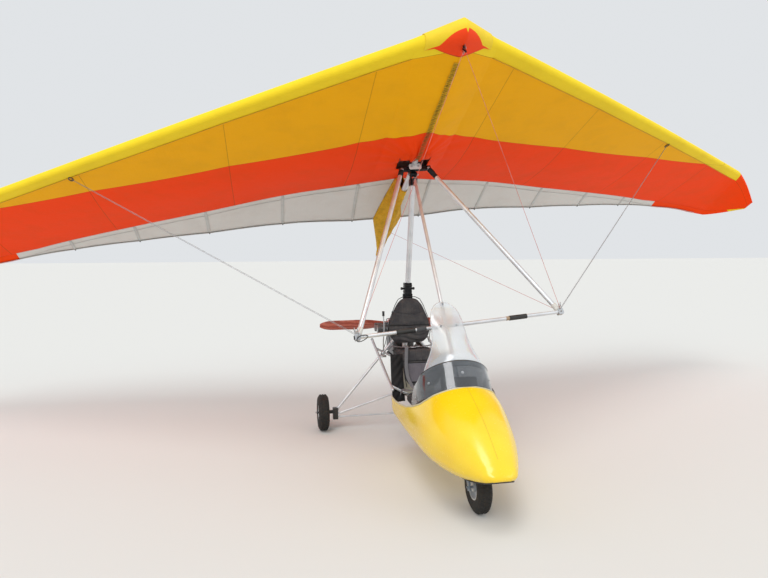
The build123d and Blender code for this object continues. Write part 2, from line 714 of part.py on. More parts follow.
def wheel(side):
    place = Pos(wheel_place(side))
    if side == 0:
        d, w, rw, axle = FRONT_TYRE_D, FRONT_TYRE_W, RIM_WIDTH_FRONT, FRONT_AXLE_D
    else:
        d, w, rw, axle = REAR_TYRE_D, REAR_TYRE_W, RIM_WIDTH_REAR, REAR_AXLE_D
    metal = rim(rw, axle)
    rubber = tyre(d, w, rw) - metal
    return place * rubber, place * metal


def fork():
    """Stem, crown, two legs and the front axle, in one piece."""
    leg_x = FRONT_TYRE_W / 2 + LEG_GAP + LEG_THICK / 2
    stem = Pos(0, 0, CROWN_TOP - 1) * Cylinder(STEM_D / 2, HEAD_TOP_S + CLEAR + 24 - CROWN_TOP + 1, align=ON_BASE)
    crown = Pos(0, 0, CROWN_LOW) * Box(2 * leg_x + LEG_THICK, 52, CROWN_HEIGHT, align=ON_BASE)
    body = stem + crown
    for side in (-1, 1):
        leg = Pos(side * leg_x, 0, -22) * Box(LEG_THICK, LEG_DEEP, CROWN_LOW + 24, align=ON_BASE)
        body = body + leg
    axle = Rot(Y=90) * Cylinder(FRONT_AXLE_D / 2, 2 * leg_x + 26)
    return STEER_PLANE * (body + axle)


def foot_bar():
    """The pilot's foot bar, clamped on the top of the fork's stem."""
    s = HEAD_TOP_S + CLEAR
    clamp = Pos(0, 0, s) * Box(40, 36, 24, align=ON_BASE)
    bar = Pos(0, 0, s + 12) * Rot(Y=90) * Cylinder(FOOT_BAR_D / 2, FOOT_BAR_LENGTH)
    bore = Pos(0, 0, s - 10) * Cylinder(STEM_D / 2, 60, align=ON_BASE)
    return STEER_PLANE * (clamp + bar - bore)


def mudguard():
    """A curved guard over the front tyre, fixed under the fork's crown."""
    inner = FRONT_TYRE_D / 2 + GUARD_GAP
    outer = inner + GUARD_THICK
    width = FRONT_TYRE_W + 8
    ring = Rot(Y=90) * (Cylinder(outer, width) - Cylinder(inner, width + 2))
    keep = Pos(0, 0, inner * 0.42) * Box(width + 4, 3 * outer, 2 * outer, align=ON_BASE)
    tab = Pos(0, 0, outer - 2) * Box(40, 40, CROWN_LOW - outer + 2, align=ON_BASE)
    tab = tab - Rot(Y=90) * Cylinder(inner + 1, width)
    return STEER_PLANE * ((ring & keep) + tab)


# Hang block

def hang_block():
    """A sleeve that the wing's keel turns in, with a lug that tilts on the hang bolt."""
    sleeve = Rot(X=90) * Cylinder(SLEEVE_D / 2, SLEEVE_LENGTH)
    lug = Pos(0, 0, -HANG_DROP) * Rot(Y=90) * Cylinder(HANG_BOLT_D / 2 + 13, LUG_WIDE)
    neck = wing_block((-LUG_WIDE / 2, LUG_WIDE / 2), (-21, 21), (-HANG_DROP, 0))
    keel_bore = Rot(X=90) * Cylinder(WING_KEEL_D / 2 + RUNNING, SLEEVE_LENGTH + 10)
    bolt_bore = Pos(0, 0, -HANG_DROP) * Rot(Y=90) * Cylinder(HANG_BOLT_D / 2 + RUNNING, LUG_WIDE + 10)
    return BLOCK_PLACE * (sleeve + neck + lug - keel_bore - bolt_bore)


# Wing: everything below is drawn in the wing's own frame and set in place when it is saved.

KEEL_WING_ROD = rod((0, WING_KEEL_Y[0], 0), (0, WING_KEEL_Y[1], 0), WING_KEEL_D)
CORNER = Vector(BAR_HALF, BAR_Y, BAR_Z)
APEX = Vector(APEX_X, APEX_Y, APEX_Z)

# each row: height of the trailing edge above the keel at a place x
TRAILING_HEIGHT = [(0, 105), (460, 155), (1000, 225), (1900, 262), (2600, 292), (3600, 305),
                   (4300, 250), (4766, 165)]


def between(table, x):
    """The value at x on straight runs between the rows of a table."""
    for (x0, v0), (x1, v1) in zip(table, table[1:]):
        if x <= x1:
            return v0 + (v1 - v0) * (x - x0) / (x1 - x0)
    return table[-1][1]


def sail_row(x):
    """Where the sail's edges are at x: leading edge y, z, trailing edge y, z, leading radius."""
    share = x / SPAN_INNER
    le_y = NOSE_Y + x / tan(radians(LE_ANGLE)) + LE_BOW * share ** 2
    le_z = LE_Z + x * tan(radians(LE_RISE)) + LE_END_RISE * share ** 4
    te_y = TE_ROOT_Y + TE_SLOPE * x
    te_z = between(TRAILING_HEIGHT, x)
    radius = 40 - 6 * share
    if x == 0:
        le_z, radius = 42, 74
    return le_y, le_z, te_y, te_z, radius


TIP_ROWS = [
    # x, leading y, z, trailing y, z, radius
    (5000, 1345, 205, 1760, 95, 20),
    (5105, 1448, 62, 1590, 42, 9),
]
CONE_HALF = 240
CONE_DEEP = 150              # how far the cap reaches back from the sail's nose
CONE_GAP = 1
CONE_THICK = 3
NOSE_TANG = (NOSE_Y + 60, -74)
POCKET_Y = (330, 1880)       # the keel pocket's ends behind the wing's hang point
SAIL_STATIONS = [0, 300, 900, 1500, 2100, 2700, 3300, 3900, 4400, SPAN_INNER]


class Chord:
    """A section of the sail at x, with heights worked out across its chord."""

    def __init__(self, x, le_y, le_z, te_y, te_z, radius):
        self.x, self.le, self.radius = x, (le_y, le_z), radius
        self.length = hypot(te_y - le_y, te_z - le_z)
        self.tilt = atan2(te_z - le_z, te_y - le_y)
        self.crest = 0.30 * self.length
        self.height = max(CAMBER * self.length, radius * 1.25)
        # the front arc touches the leading edge's circle from outside it and is level at the crest
        self.front_r = ((self.crest ** 2 + self.height ** 2 - radius ** 2)
                        / (2 * (self.height - radius)))
        rear = self.length - self.crest
        self.rear_r = (rear * rear + self.height ** 2) / (2 * self.height)

    def at(self, u, w):
        """The point at u along the chord and w above it."""
        c, s = cos(self.tilt), sin(self.tilt)
        return Vector(self.x, self.le[0] + u * c - w * s, self.le[1] + u * s + w * c)

    def along_y(self, y):
        """How far along the chord a place y is."""
        return (y - self.le[0]) / cos(self.tilt)

    def top(self, u):
        """Height of the top surface: an arc up to the crest and an arc down from it."""
        arc_r = self.rear_r if u > self.crest else self.front_r
        return self.height - arc_r + sqrt(arc_r ** 2 - (u - self.crest) ** 2)

    def front_top(self, u, grow):
        """Height of the front arc moved out by grow."""
        return self.height - self.front_r + sqrt((self.front_r + grow) ** 2 - (u - self.crest) ** 2)

    def touch(self, grow):
        """Where the front arc meets the leading edge's circle, moved out by grow."""
        away = hypot(self.crest, self.front_r - self.height)
        r = self.radius + grow
        return -r * self.crest / away, r * (self.front_r - self.height) / away


def chords():
    rows = [Chord(x, *sail_row(x)) for x in SAIL_STATIONS]
    return rows + [Chord(*row) for row in TIP_ROWS]


def under_knee(chord):
    """Where the lower surface turns up towards its rear edge, along and above the chord."""
    knee = min(chord.along_y(KNEE_ROOT_Y + KNEE_SLOPE * chord.x), 0.62 * chord.length)
    if chord.x == 0:
        below_keel = -WING_KEEL_D / 2 - 6
        return knee, (below_keel - chord.le[1] - knee * sin(chord.tilt)) / cos(chord.tilt)
    return knee, -chord.radius * 0.45


def sail_section(chord):
    """One thin section of the sail: over the top, round the leading edge and back underneath."""
    t, r = SAIL_THICK, chord.radius
    end = chord.length
    under = min(chord.along_y(UNDER_ROOT_Y + UNDER_SLOPE * chord.x), 0.90 * end)
    knee, knee_w = under_knee(chord)
    under_w = chord.top(under) - 9
    f_mid, r_mid = chord.crest / 2, (chord.crest + end) / 2
    b, b_in = chord.touch(0), chord.touch(-t)

    def arc(p, m, q):
        return ThreePointArc(chord.at(*p), chord.at(*m), chord.at(*q))

    def line(p, q):
        return Line(chord.at(*p), chord.at(*q))

    edges = [
        arc((end, 0), (r_mid, chord.top(r_mid)), (chord.crest, chord.height)),
        arc((chord.crest, chord.height), (f_mid, chord.top(f_mid)), b),
        arc(b, (-r, 0), (0, -r)),
        line((0, -r), (knee, knee_w)),
        line((knee, knee_w), (under, under_w)),
        line((under, under_w), (under, under_w + t)),
        line((under, under_w + t), (knee, knee_w + t)),
        line((knee, knee_w + t), (0, -r + t)),
        arc((0, -r + t), (-r + t, 0), b_in),
        arc(b_in, (f_mid, chord.front_top(f_mid, -t)), (chord.crest, chord.height - t)),
        arc((chord.crest, chord.height - t), (r_mid, chord.top(r_mid) - t), (end, -t)),
        line((end, -t), (end, 0)),
    ]
    return make_face(Curve() + edges)


def sail_half():
    """The left half of the sail, with room for the hang fittings and the kingpost."""
    skin = loft([sail_section(c) for c in chords()], ruled=True)
    hang_hole = wing_block((-160, 160), (-125, 70), (-120, 45))
    post_hole = rod((0, KINGPOST_Y, 60), (0, KINGPOST_Y, 400), KINGPOST_D + 16)
    return skin - hang_hole - post_hole


def filled_nose(grow):
    """The front of the wing as a solid, made larger all round by grow."""
    faces = []
    reach = SAIL_STATIONS[1]
    for side in (-1, 0, 1):
        c = Chord(side * reach, *sail_row(abs(side) * reach))
        r = c.radius + grow
        knee, knee_w = under_knee(Chord(abs(side) * reach, *sail_row(abs(side) * reach)))
        mid = c.crest / 2
        edges = [
            ThreePointArc(c.at(c.crest, c.height + grow), c.at(mid, c.front_top(mid, grow)), c.at(*c.touch(grow))),
            ThreePointArc(c.at(*c.touch(grow)), c.at(-r, 0), c.at(0, -r)),
            Line(c.at(0, -r), c.at(knee, knee_w - grow)),
            Line(c.at(knee, knee_w - grow), c.at(c.crest, c.height + grow)),
        ]
        faces.append(make_face(Curve() + edges))
    return loft(faces, ruled=True)


def nose_cone():
    """A cap over the sail's nose."""
    rear = NOSE_Y + CONE_DEEP
    outline = [(0, NOSE_Y - 160), (CONE_HALF, NOSE_Y + 10), (CONE_HALF, rear), (CONE_HALF / 2, rear + 30),
               (0, rear), (-CONE_HALF / 2, rear + 30), (-CONE_HALF, rear), (-CONE_HALF, NOSE_Y + 10)]
    reach = extrude(make_face(Polyline(*outline, close=True)), 400, both=True)
    return (filled_nose(CONE_GAP + CONE_THICK) - filled_nose(CONE_GAP)) & reach


def nose_tang():
    y, z = NOSE_TANG
    return wing_block((-2, 2), (y - 30, y + 30), (z, z + 38))


def apex_bracket():
    """A cross plate under the wing's keel that takes the tops of the two uprights."""
    y = (APEX_Y - 15, APEX_Y + 15)
    plate = wing_block((-APEX_X - 22, APEX_X + 22), y, (APEX_Z - 18, APEX_Z + 18))
    saddle = wing_block((-36, 36), y, (APEX_Z, WING_KEEL_D / 2 + 12))
    stop = rod((0, SLEEVE_LENGTH / 2 + 1, 0), (0, SLEEVE_LENGTH / 2 + 21, 0), WING_KEEL_D + 18)
    front_stop = rod((0, APEX_Y + 14, 0), (0, -SLEEVE_LENGTH / 2 - 1, 0), WING_KEEL_D + 18)
    return [plate + saddle + front_stop - KEEL_WING_ROD, stop - KEEL_WING_ROD]


def upright():
    return tube(APEX, CORNER, UPRIGHT_D, 2.5) - apex_bracket()[0] - bar_rod()


def bar_rod():
    reach = BAR_HALF + BAR_OVERHANG
    return rod((-reach, BAR_Y, BAR_Z), (reach, BAR_Y, BAR_Z), BAR_D)


def base_bar():
    reach = BAR_HALF + BAR_OVERHANG
    return tube((-reach, BAR_Y, BAR_Z), (reach, BAR_Y, BAR_Z), BAR_D, 2.5)


def bar_grips():
    """The foam grips on the base bar."""
    return [rod((start, BAR_Y, BAR_Z), (end, BAR_Y, BAR_Z), GRIP_D) - bar_rod() for start, end in GRIPS]


def corner_fittings():
    """A knuckle round each lower corner of the control frame."""
    knuckle = Pos(CORNER + Vector(4, 0, 0)) * Box(44, 40, 46)
    knuckle = fillet(knuckle.edges().filter_by(Axis.Y), 8)
    return both(knuckle - rod(APEX, CORNER, UPRIGHT_D) - bar_rod())


def wing_keel():
    front, rear = Vector(0, WING_KEEL_Y[0], 0), Vector(0, WING_KEEL_Y[1], 0)
    return bushed_tube(front, rear, WING_KEEL_D, WING_BUSH)


def kingpost():
    post = rod((0, KINGPOST_Y, WING_KEEL_D / 2 - 4), (0, KINGPOST_Y, KINGPOST_TOP), KINGPOST_D)
    foot = wing_block((-30, 30), (KINGPOST_Y - 30, APEX_Y - 20), (WING_KEEL_D / 2 - 6, WING_KEEL_D / 2 + 26))
    cap = rod((0, KINGPOST_Y, KINGPOST_TOP - 30), (0, KINGPOST_Y, KINGPOST_TOP + 8), KINGPOST_D + 12)
    return post + foot + cap - KEEL_WING_ROD


def keel_pocket():
    """The cloth pocket round the rear of the wing's keel, with the fin that joins it to the sail."""
    root = Chord(0, *sail_row(0))
    front_y, rear_y = POCKET_Y
    sleeve = rod((0, front_y, 0), (0, rear_y, 0), WING_KEEL_D + 6)
    tops = []
    for y in (UNDER_ROOT_Y + 30, front_y + 370, front_y + 600, TE_ROOT_Y - 10):
        p = root.at(root.along_y(y), root.top(root.along_y(y)) - SAIL_THICK - 4)
        tops.append((0, p.Y, p.Z))
    outline = [(0, front_y, 0)] + tops + [(0, rear_y, WING_KEEL_D / 2), (0, rear_y, 0)]
    fin = extrude(make_face(Polyline(*outline, close=True)), 3, both=True)
    return sleeve + fin - KEEL_WING_ROD


def under_skin_point(x):
    """Where a side wire meets the sail's underside at x: just behind the leading edge."""
    c = Chord(x, *sail_row(x))
    knee, knee_w = under_knee(c)
    u = 110
    return c.at(u, -c.radius + (knee_w + c.radius) * u / knee - 2.5)


def over_skin_point(x):
    c = Chord(x, *sail_row(x))
    return c.at(60, c.top(60) + 2)


def side_wires():
    """Two strands on each side, from the control frame's corners to the leading edges."""
    top = under_skin_point(SIDE_TANG_X)
    wires = []
    for offset in (-10, 10):
        shift = Vector(0, offset, 0)
        wires += both(rod(CORNER + Vector(16, offset * 1.2, 24.5), top + shift, WIRE_D))
    return wires


def fore_aft_wires():
    """From each lower corner to the nose and to the rear of the keel."""
    nose = rod(CORNER + Vector(0, -22, 20), (4.5, NOSE_TANG[0], NOSE_TANG[1] + 8), WIRE_D)
    rear = rod(CORNER + Vector(0, 22, 20), (WING_KEEL_D / 2 + 5, REAR_TANG_Y, 0), WIRE_D)
    return both(nose) + both(rear)


def top_wires():
    """From the kingpost's head to the leading edges, the nose and the keel's end."""
    r = (KINGPOST_D + 12) / 2
    z = KINGPOST_TOP - 12
    side = rod((r + 2, KINGPOST_Y, z), over_skin_point(SIDE_TANG_X), WIRE_D)
    root = Chord(0, *sail_row(0))
    nose_end = root.at(70, root.top(70) + 7)
    front = rod((0, KINGPOST_Y - r - 2, z), nose_end, WIRE_D)
    rear = rod((0, KINGPOST_Y + r + 2, z), (0, WING_KEEL_Y[1] - 20, WING_KEEL_D / 2 + 2), WIRE_D)
    return both(side) + [front, rear]


def save(name, shapes, place=None):
    """Write one node: a solid, or several that don't touch."""
    listed = shapes if isinstance(shapes, list) else [shapes]
    if place is not None:
        listed = [place * shape for shape in listed]
    solids = [solid for shape in listed for solid in shape.solids()]
    whole = solids[0] if len(solids) == 1 else Compound(solids)
    export_step(whole, f"parts/{name}.step")


def main():
    os.makedirs("parts", exist_ok=True)
    save("keel_tube", keel_tube())
    save("mast", mast())
    save("mast_head", mast_head())
    save("front_strut", front_strut())
    save("steering_head", HEAD_ROD - rod(up_axis(HEAD_LOW), up_axis(HEAD_TOP_S), STEM_D + 2 * RUNNING))
    save("frame_fittings", frame_fittings())
    save("seat_frame", seat_frame())
    save("rear_struts", upper_struts() + both(middle_strut()) + [axle_rod()])
    save("hub_brackets", both(hub_bracket()))
    save("front_cushion", front_cushion())
    save("front_backrest", front_backrest())
    save("rear_cushion", rear_cushion())
    save("rear_backrest", rear_backrest())
    save("fuel_tank", fuel_tank())
    save("pod", pod())
    save("lower_screen", screen(LOWER_SCREEN))
    save("upper_screen", screen(UPPER_SCREEN))
    save("instrument_panel", instrument_panel())
    save("engine_mount", engine_mount())
    save("engine", engine())
    save("gearbox", gearbox())
    save("exhaust", exhaust())
    save("carburettors", carburettors())
    save("propeller", propeller())
    save("propeller_hub", propeller_hub())
    for name, side in (("front", 0), ("rear_left", 1), ("rear_right", -1)):
        rubber, metal = wheel(side)
        save(f"{name}_tyre", rubber)
        save(f"{name}_rim", metal)
    save("fork", fork())
    save("foot_bar", foot_bar())
    save("mudguard", mudguard())
    save("hang_block", hang_block())

    half_sail = sail_half()
    save("sail_left", half_sail, WING_PLACE)
    save("sail_right", mirror(half_sail, about=Plane.YZ), WING_PLACE)
    save("wing_keel", wing_keel(), WING_PLACE)
    save("nose_cone", nose_cone(), WING_PLACE)
    save("apex_bracket", apex_bracket(), WING_PLACE)
    save("uprights", both(upright()), WING_PLACE)
    save("base_bar", base_bar(), WING_PLACE)
    save("bar_grips", bar_grips(), WING_PLACE)
    save("wing_fittings", corner_fittings() + [nose_tang()], WING_PLACE)
    save("kingpost", kingpost(), WING_PLACE)
    save("keel_pocket", keel_pocket(), WING_PLACE)
    save("side_wires", side_wires(), WING_PLACE)
    save("fore_aft_wires", fore_aft_wires(), WING_PLACE)
    save("top_wires", top_wires(), WING_PLACE)


main()
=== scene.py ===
"""A parked two-seat microlight trike with its flexible wing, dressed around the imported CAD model.

Metres. +Z is up, the nose points to -Y and +X is the pilot's left. The wing's own pieces are worked out in
the wing's frame: its origin is on the wing keel over the hang bolt, y runs back along the keel, and z is up.
"""

from math import cos, pi, radians, sin, tan

import bmesh
import bpy
import numpy as np
from mathutils import Matrix, Vector


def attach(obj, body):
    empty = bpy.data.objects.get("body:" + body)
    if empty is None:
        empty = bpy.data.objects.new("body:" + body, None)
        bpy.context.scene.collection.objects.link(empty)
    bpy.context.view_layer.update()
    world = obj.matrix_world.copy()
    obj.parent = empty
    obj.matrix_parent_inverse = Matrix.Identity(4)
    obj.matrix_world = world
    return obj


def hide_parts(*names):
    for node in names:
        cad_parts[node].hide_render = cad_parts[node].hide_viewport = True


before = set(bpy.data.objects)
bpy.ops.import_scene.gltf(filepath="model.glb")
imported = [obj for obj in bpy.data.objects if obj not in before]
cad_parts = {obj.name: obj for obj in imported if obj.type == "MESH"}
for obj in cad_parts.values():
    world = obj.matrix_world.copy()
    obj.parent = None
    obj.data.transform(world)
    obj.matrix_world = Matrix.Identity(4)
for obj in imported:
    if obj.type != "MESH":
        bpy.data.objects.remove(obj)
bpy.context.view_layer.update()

MM = 0.001

# Places shared with the CAD, in metres
REAR_AXLE_Y = 0.275
HANG_BOLT = (0.0, REAR_AXLE_Y - 0.249, 2.358)
HANG_DROP = 0.066
WING_PITCH = 24.4
WING_LEAN = 5.4
WING_PLACE = (Matrix.Translation(HANG_BOLT) @ Matrix.Rotation(radians(-WING_PITCH), 4, "X")
              @ Matrix.Translation((0, 0, HANG_DROP)) @ Matrix.Rotation(radians(-WING_LEAN), 4, "Y"))


# Arrays and meshes

def in_row(points):
    """Points of the wing's frame, turned and moved to where the wing hangs."""
    matrix = np.array(WING_PLACE)
    return np.asarray(points, float) @ matrix[:3, :3].T + matrix[:3, 3]


def wing_way(direction):
    """A direction of the wing's frame, turned as the wing hangs."""
    return np.array(WING_PLACE)[:3, :3] @ np.asarray(direction, float)


def spot(x, y, z):
    """Points of the trike: y is counted backwards from the rear axle."""
    return np.stack(np.broadcast_arrays(x, REAR_AXLE_Y + np.asarray(y, float), z), -1)


def signed(points, side):
    """Points as they are for side 1, or their mirror image for side -1."""
    return np.asarray(points, float) * [side, 1, 1]


def unit(v):
    v = np.asarray(v, float)
    return v / np.linalg.norm(v, axis=-1, keepdims=True)


def turns(count):
    """Angles at even steps once round."""
    return np.arange(count) * 2 * pi / count


def smooth_step(x):
    """0 below 0, 1 above 1 and a smooth rise between them."""
    x = np.clip(x, 0, 1)
    return x * x * (3 - 2 * x)


def curve_through(knots, values, x):
    """A smooth curve through the knots: cubic pieces whose slopes are those of the chords around a knot."""
    knots, values, x = (np.asarray(a, float) for a in (knots, values, x))
    slopes = np.gradient(values, knots)
    i = np.clip(np.searchsorted(knots, x) - 1, 0, len(knots) - 2)
    h = knots[i + 1] - knots[i]
    t = np.clip((x - knots[i]) / h, 0, 1)
    t2, t3 = t * t, t * t * t
    return ((2 * t3 - 3 * t2 + 1) * values[i] + (t3 - 2 * t2 + t) * h * slopes[i]
            + (3 * t2 - 2 * t3) * values[i + 1] + (t3 - t2) * h * slopes[i + 1])


def reach_along(points):
    """How far each point lies from the first, measured along straight runs."""
    return np.concatenate([[0], np.cumsum(np.linalg.norm(np.diff(points, axis=0), axis=1))])


def smooth_path(places, count):
    """Points at even steps on a smooth curve through places."""
    places = np.asarray(places, float)
    reach = reach_along(places)
    t = np.linspace(0, reach[-1], count)
    return np.stack([curve_through(reach, places[:, k], t) for k in range(3)], -1)


def faces_over(index):
    """Faces with four corners between neighbours in a grid of point numbers."""
    return np.stack([index[:-1, :-1], index[1:, :-1], index[1:, 1:], index[:-1, 1:]], -1).reshape(-1, 4)


class Shape:
    """Points and faces gathered until they become one mesh."""

    def __init__(self):
        self.points, self.faces, self.count = [], [], 0

    def add(self, points, faces):
        points = np.asarray(points, float).reshape(-1, 3)
        self.points.append(points)
        for block in faces:
            self.faces += (np.asarray(block) + self.count).tolist()
        self.count += len(points)
        return self

    def grid(self, points, close_u=False, close_v=False, cap_ends=False):
        """Faces over points[i, j], joined round where a direction closes, with fans over the ends if asked."""
        n, m = points.shape[:2]
        index = np.arange(n * m).reshape(n, m)
        if close_u:
            index = np.concatenate([index, index[:1]], 0)
        if close_v:
            index = np.concatenate([index, index[:, :1]], 1)
        faces = [faces_over(index)]
        flat = points.reshape(-1, 3)
        if cap_ends:
            first, last = index[0, :-1], index[-1, :-1]
            flat = np.concatenate([flat, [points[0].mean(0), points[-1].mean(0)]])
            faces.append(np.stack([np.full(m, n * m), first, np.roll(first, -1)], -1))
            faces.append(np.stack([np.full(m, n * m + 1), np.roll(last, -1), last], -1))
        return self.add(flat, faces)

    def sweep(self, path, profile, side=(1, 0, 0), scale=1.0):
        """A closed profile of (across, up) carried along a path. side is roughly the across direction."""
        path, profile = np.asarray(path, float), np.asarray(profile, float)
        along = unit(np.gradient(path, axis=0))
        up = unit(np.cross(along, np.broadcast_to(side, along.shape)) + 1e-12)
        across = np.cross(up, along)
        size = np.broadcast_to(scale, len(path))[:, None, None]
        section = across[:, None] * profile[None, :, :1] + up[:, None] * profile[None, :, 1:]
        points = path[:, None] + size * section
        return self.grid(points, close_v=True, cap_ends=True)

    def turned(self, profile, centre, sides=48, axis=(1, 0, 0)):
        """A profile of (along the axis, radius) turned round an axis through a centre."""
        profile, axis = np.asarray(profile, float), unit(axis)
        first = unit(np.cross(axis, (0, 0, 1) if abs(axis[2]) < 0.9 else (0, 1, 0)))
        turn = turns(sides)[:, None, None]
        spoke = np.cos(turn) * first + np.sin(turn) * np.cross(axis, first)
        points = np.asarray(centre) + profile[None, :, :1] * axis + profile[None, :, 1:] * spoke
        return self.grid(points, close_u=True)

    def rod(self, a, b, radius, sides=12):
        """A round bar from a to b."""
        a, b = np.asarray(a, float), np.asarray(b, float)
        side = (1, 0, 0) if abs(unit(b - a)[0]) < 0.8 else (0, 0, 1)
        return self.sweep([a, b], ring(radius, sides), side)

    def bolt(self, at, out, size=0.010):
        """A hexagon head with its washer and the thread's end, standing on a surface at a place."""
        out = unit(out)
        washer, head = 0.0015, 0.0015 + size * 0.6
        self.rod(at - out * 0.002, at + out * washer, size * 0.95, 16)
        self.rod(at + out * washer, at + out * head, size * 0.62, 6)
        return self.rod(at + out * (size * 0.6), at + out * (0.004 + size * 0.75), size * 0.30, 8)

    def hoop(self, loop, radius):
        """A closed ring of round bar through points of a loop."""
        loop = np.asarray(loop, float)
        along = unit(np.roll(loop, -1, 0) - np.roll(loop, 1, 0))
        flat = unit(np.cross(loop[0] - loop.mean(0), loop[len(loop) // 4] - loop.mean(0)))
        across = unit(np.cross(along, flat))
        turn = turns(8)[None, :, None]
        spoke = np.cos(turn) * across[:, None] + np.sin(turn) * np.cross(across, along)[:, None]
        return self.grid(loop[:, None] + radius * spoke, close_u=True, close_v=True)

    def hose(self, places, radius):
        """A hose or cable on a smooth curve through places."""
        return self.sweep(smooth_path(places, 40), ring(radius, 8), (0.31, 0.92, 0.2))

    def mesh(self, name):
        data = bpy.data.meshes.new(name)
        data.from_pydata(np.concatenate(self.points).tolist(), [], self.faces)
        data.validate()
        data.update()
        return data


def ring(radius, sides=12):
    """A circle of points."""
    turn = turns(sides)
    return np.stack([radius * np.cos(turn), radius * np.sin(turn)], -1)


def slab_profile(width, thick):
    """The corners of a strip's section, with its edges rounded off by short slopes."""
    w, t, c = width / 2, thick / 2, thick * 0.3
    right = [(w - c, -t), (w, -t + c), (w, t - c), (w - c, t)]
    return [(-w, -t + c), (-w + c, -t), *right, (-w + c, t), (-w, t - c)]


def piece(name, shape, material, body, smooth=True, replaces=(), thick=0.0):
    """Makes a mesh object, gives it its material and thickness, and lets it ride on a body."""
    data = shape if isinstance(shape, bpy.types.Mesh) else shape.mesh(name)
    data.name = name
    obj = bpy.data.objects.new(name, data)
    bpy.context.scene.collection.objects.link(obj)
    data.materials.append(material)
    data.polygons.foreach_set("use_smooth", np.full(len(data.polygons), smooth))
    if thick:
        wall = obj.modifiers.new("wall", "SOLIDIFY")
        wall.thickness = thick
        wall.offset = -1
        wall.use_even_offset = False
    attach(obj, body)
    if replaces:
        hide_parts(*replaces)
    return obj


# Materials

def linear(hex_colour):
    """An sRGB hex colour as linear red, green, blue and alpha."""
    value = np.array([int(hex_colour[i:i + 2], 16) / 255 for i in (1, 3, 5)])
    value = np.where(value <= 0.04045, value / 12.92, ((value + 0.055) / 1.055) ** 2.4)
    return (*value.tolist(), 1.0)


def add(material, kind, settings=None, links=None):
    """Adds a node: settings by attribute or input name, links from input name to another node's output."""
    node = material.node_tree.nodes.new(kind)
    for key, value in (settings or {}).items():
        if hasattr(node, key):
            setattr(node, key, value)
        else:
            node.inputs[key].default_value = value
    for key, source in (links or {}).items():
        material.node_tree.links.new(source, node.inputs[key])
    return node


def new_material(name, colour, roughness, metallic=0.0, **shader):
    """A material with one Principled shader, whose constant values sit on its own sockets."""
    material = bpy.data.materials.new(name)
    material.use_nodes = True
    principled = material.node_tree.nodes["Principled BSDF"]
    principled.inputs["Base Color"].default_value = linear(colour)
    principled.inputs["Roughness"].default_value = roughness
    principled.inputs["Metallic"].default_value = metallic
    for key, value in shader.items():
        principled.inputs[key.replace("_", " ")].default_value = value
    return material


def shader_of(material):
    return material.node_tree.nodes["Principled BSDF"]


def place_of(material, scale=(1, 1, 1)):
    """Object coordinates, stretched by a Mapping node."""
    source = add(material, "ShaderNodeTexCoord").outputs["Object"]
    return add(material, "ShaderNodeMapping", {"Scale": scale}, {"Vector": source}).outputs["Vector"]


def noise(material, per_metre, detail=4.0, rough=0.5, vector=None):
    """Cloudy noise with that many blotches in a metre."""
    vector = place_of(material) if vector is None else vector
    return add(material, "ShaderNodeTexNoise", {"Scale": per_metre, "Detail": detail, "Roughness": rough},
               {"Vector": vector}).outputs["Fac"]


def ramp(material, source, stops):
    """Colours or greys by place between 0 and 1: stops is a list of (place, hex colour)."""
    node = add(material, "ShaderNodeValToRGB", None, {"Fac": source})
    bar = node.color_ramp
    while len(bar.elements) < len(stops):
        bar.elements.new(0.5)
    for element, (place, colour) in zip(bar.elements, stops):
        element.position = place
        element.color = linear(colour)
    return node.outputs["Color"]


def maths(material, operation, a, b=0.0, clamp=False):
    """A Math node whose inputs are numbers or outputs."""
    node = add(material, "ShaderNodeMath", {"operation": operation, "use_clamp": clamp})
    for i, value in enumerate((a, b)):
        if isinstance(value, (int, float)):
            node.inputs[i].default_value = value
        else:
            material.node_tree.links.new(value, node.inputs[i])
    return node.outputs[0]


def share_of(material, value, factor):
    """A value times a factor, each a number or an output."""
    return maths(material, "MULTIPLY", value, factor)


def blend(material, share, first, second):
    """The second colour over the first by share; a colour is an output or a hex value."""
    node = add(material, "ShaderNodeMix", {"data_type": "RGBA"})
    for socket, value in zip((node.inputs["Factor"], node.inputs[6], node.inputs[7]), (share, first, second)):
        if isinstance(value, str):
            socket.default_value = linear(value)
        elif isinstance(value, (int, float)):
            socket.default_value = value
        else:
            material.node_tree.links.new(value, socket)
    return node.outputs[2]


def colour_from(material, output):
    material.node_tree.links.new(output, shader_of(material).inputs["Base Color"])


def roughness_from(material, source, low, high):
    """Roughness that goes from low to high as the source goes from 0 to 1."""
    node = add(material, "ShaderNodeMapRange", {"To Min": low, "To Max": high}, {"Value": source})
    material.node_tree.links.new(node.outputs["Result"], shader_of(material).inputs["Roughness"])


def bump_from(material, height, distance, strength=1.0):
    """Small relief of that depth in metres."""
    node = add(material, "ShaderNodeBump", {"Distance": distance, "Strength": strength}, {"Height": height})
    material.node_tree.links.new(node.outputs["Normal"], shader_of(material).inputs["Normal"])


def anodised_tube():
    """Drawn aluminium tube, bright anodised: long faint draw marks and a soft, slightly uneven shine."""
    m = new_material("drawn_anodised_aluminium", "#D6D8DA", 0.5, 0.88)
    marks = noise(m, 90, 3, 0.6, place_of(m, (1, 1, 0.08)))
    colour_from(m, ramp(m, noise(m, 9, 3), [(0.3, "#CDD0D4"), (0.7, "#E2E4E6")]))
    roughness_from(m, marks, 0.42, 0.6)
    bump_from(m, marks, 0.00002)
    return m


def black_anodised():
    """Machined aluminium, black anodised: dark satin with paler worn patches."""
    m = new_material("black_anodised_aluminium", "#1B1C1E", 0.42, 0.6)
    grime = noise(m, 40, 5, 0.6)
    colour_from(m, ramp(m, grime, [(0.35, "#141416"), (0.6, "#202124"), (0.78, "#4A4B4E")]))
    roughness_from(m, grime, 0.36, 0.55)
    return m


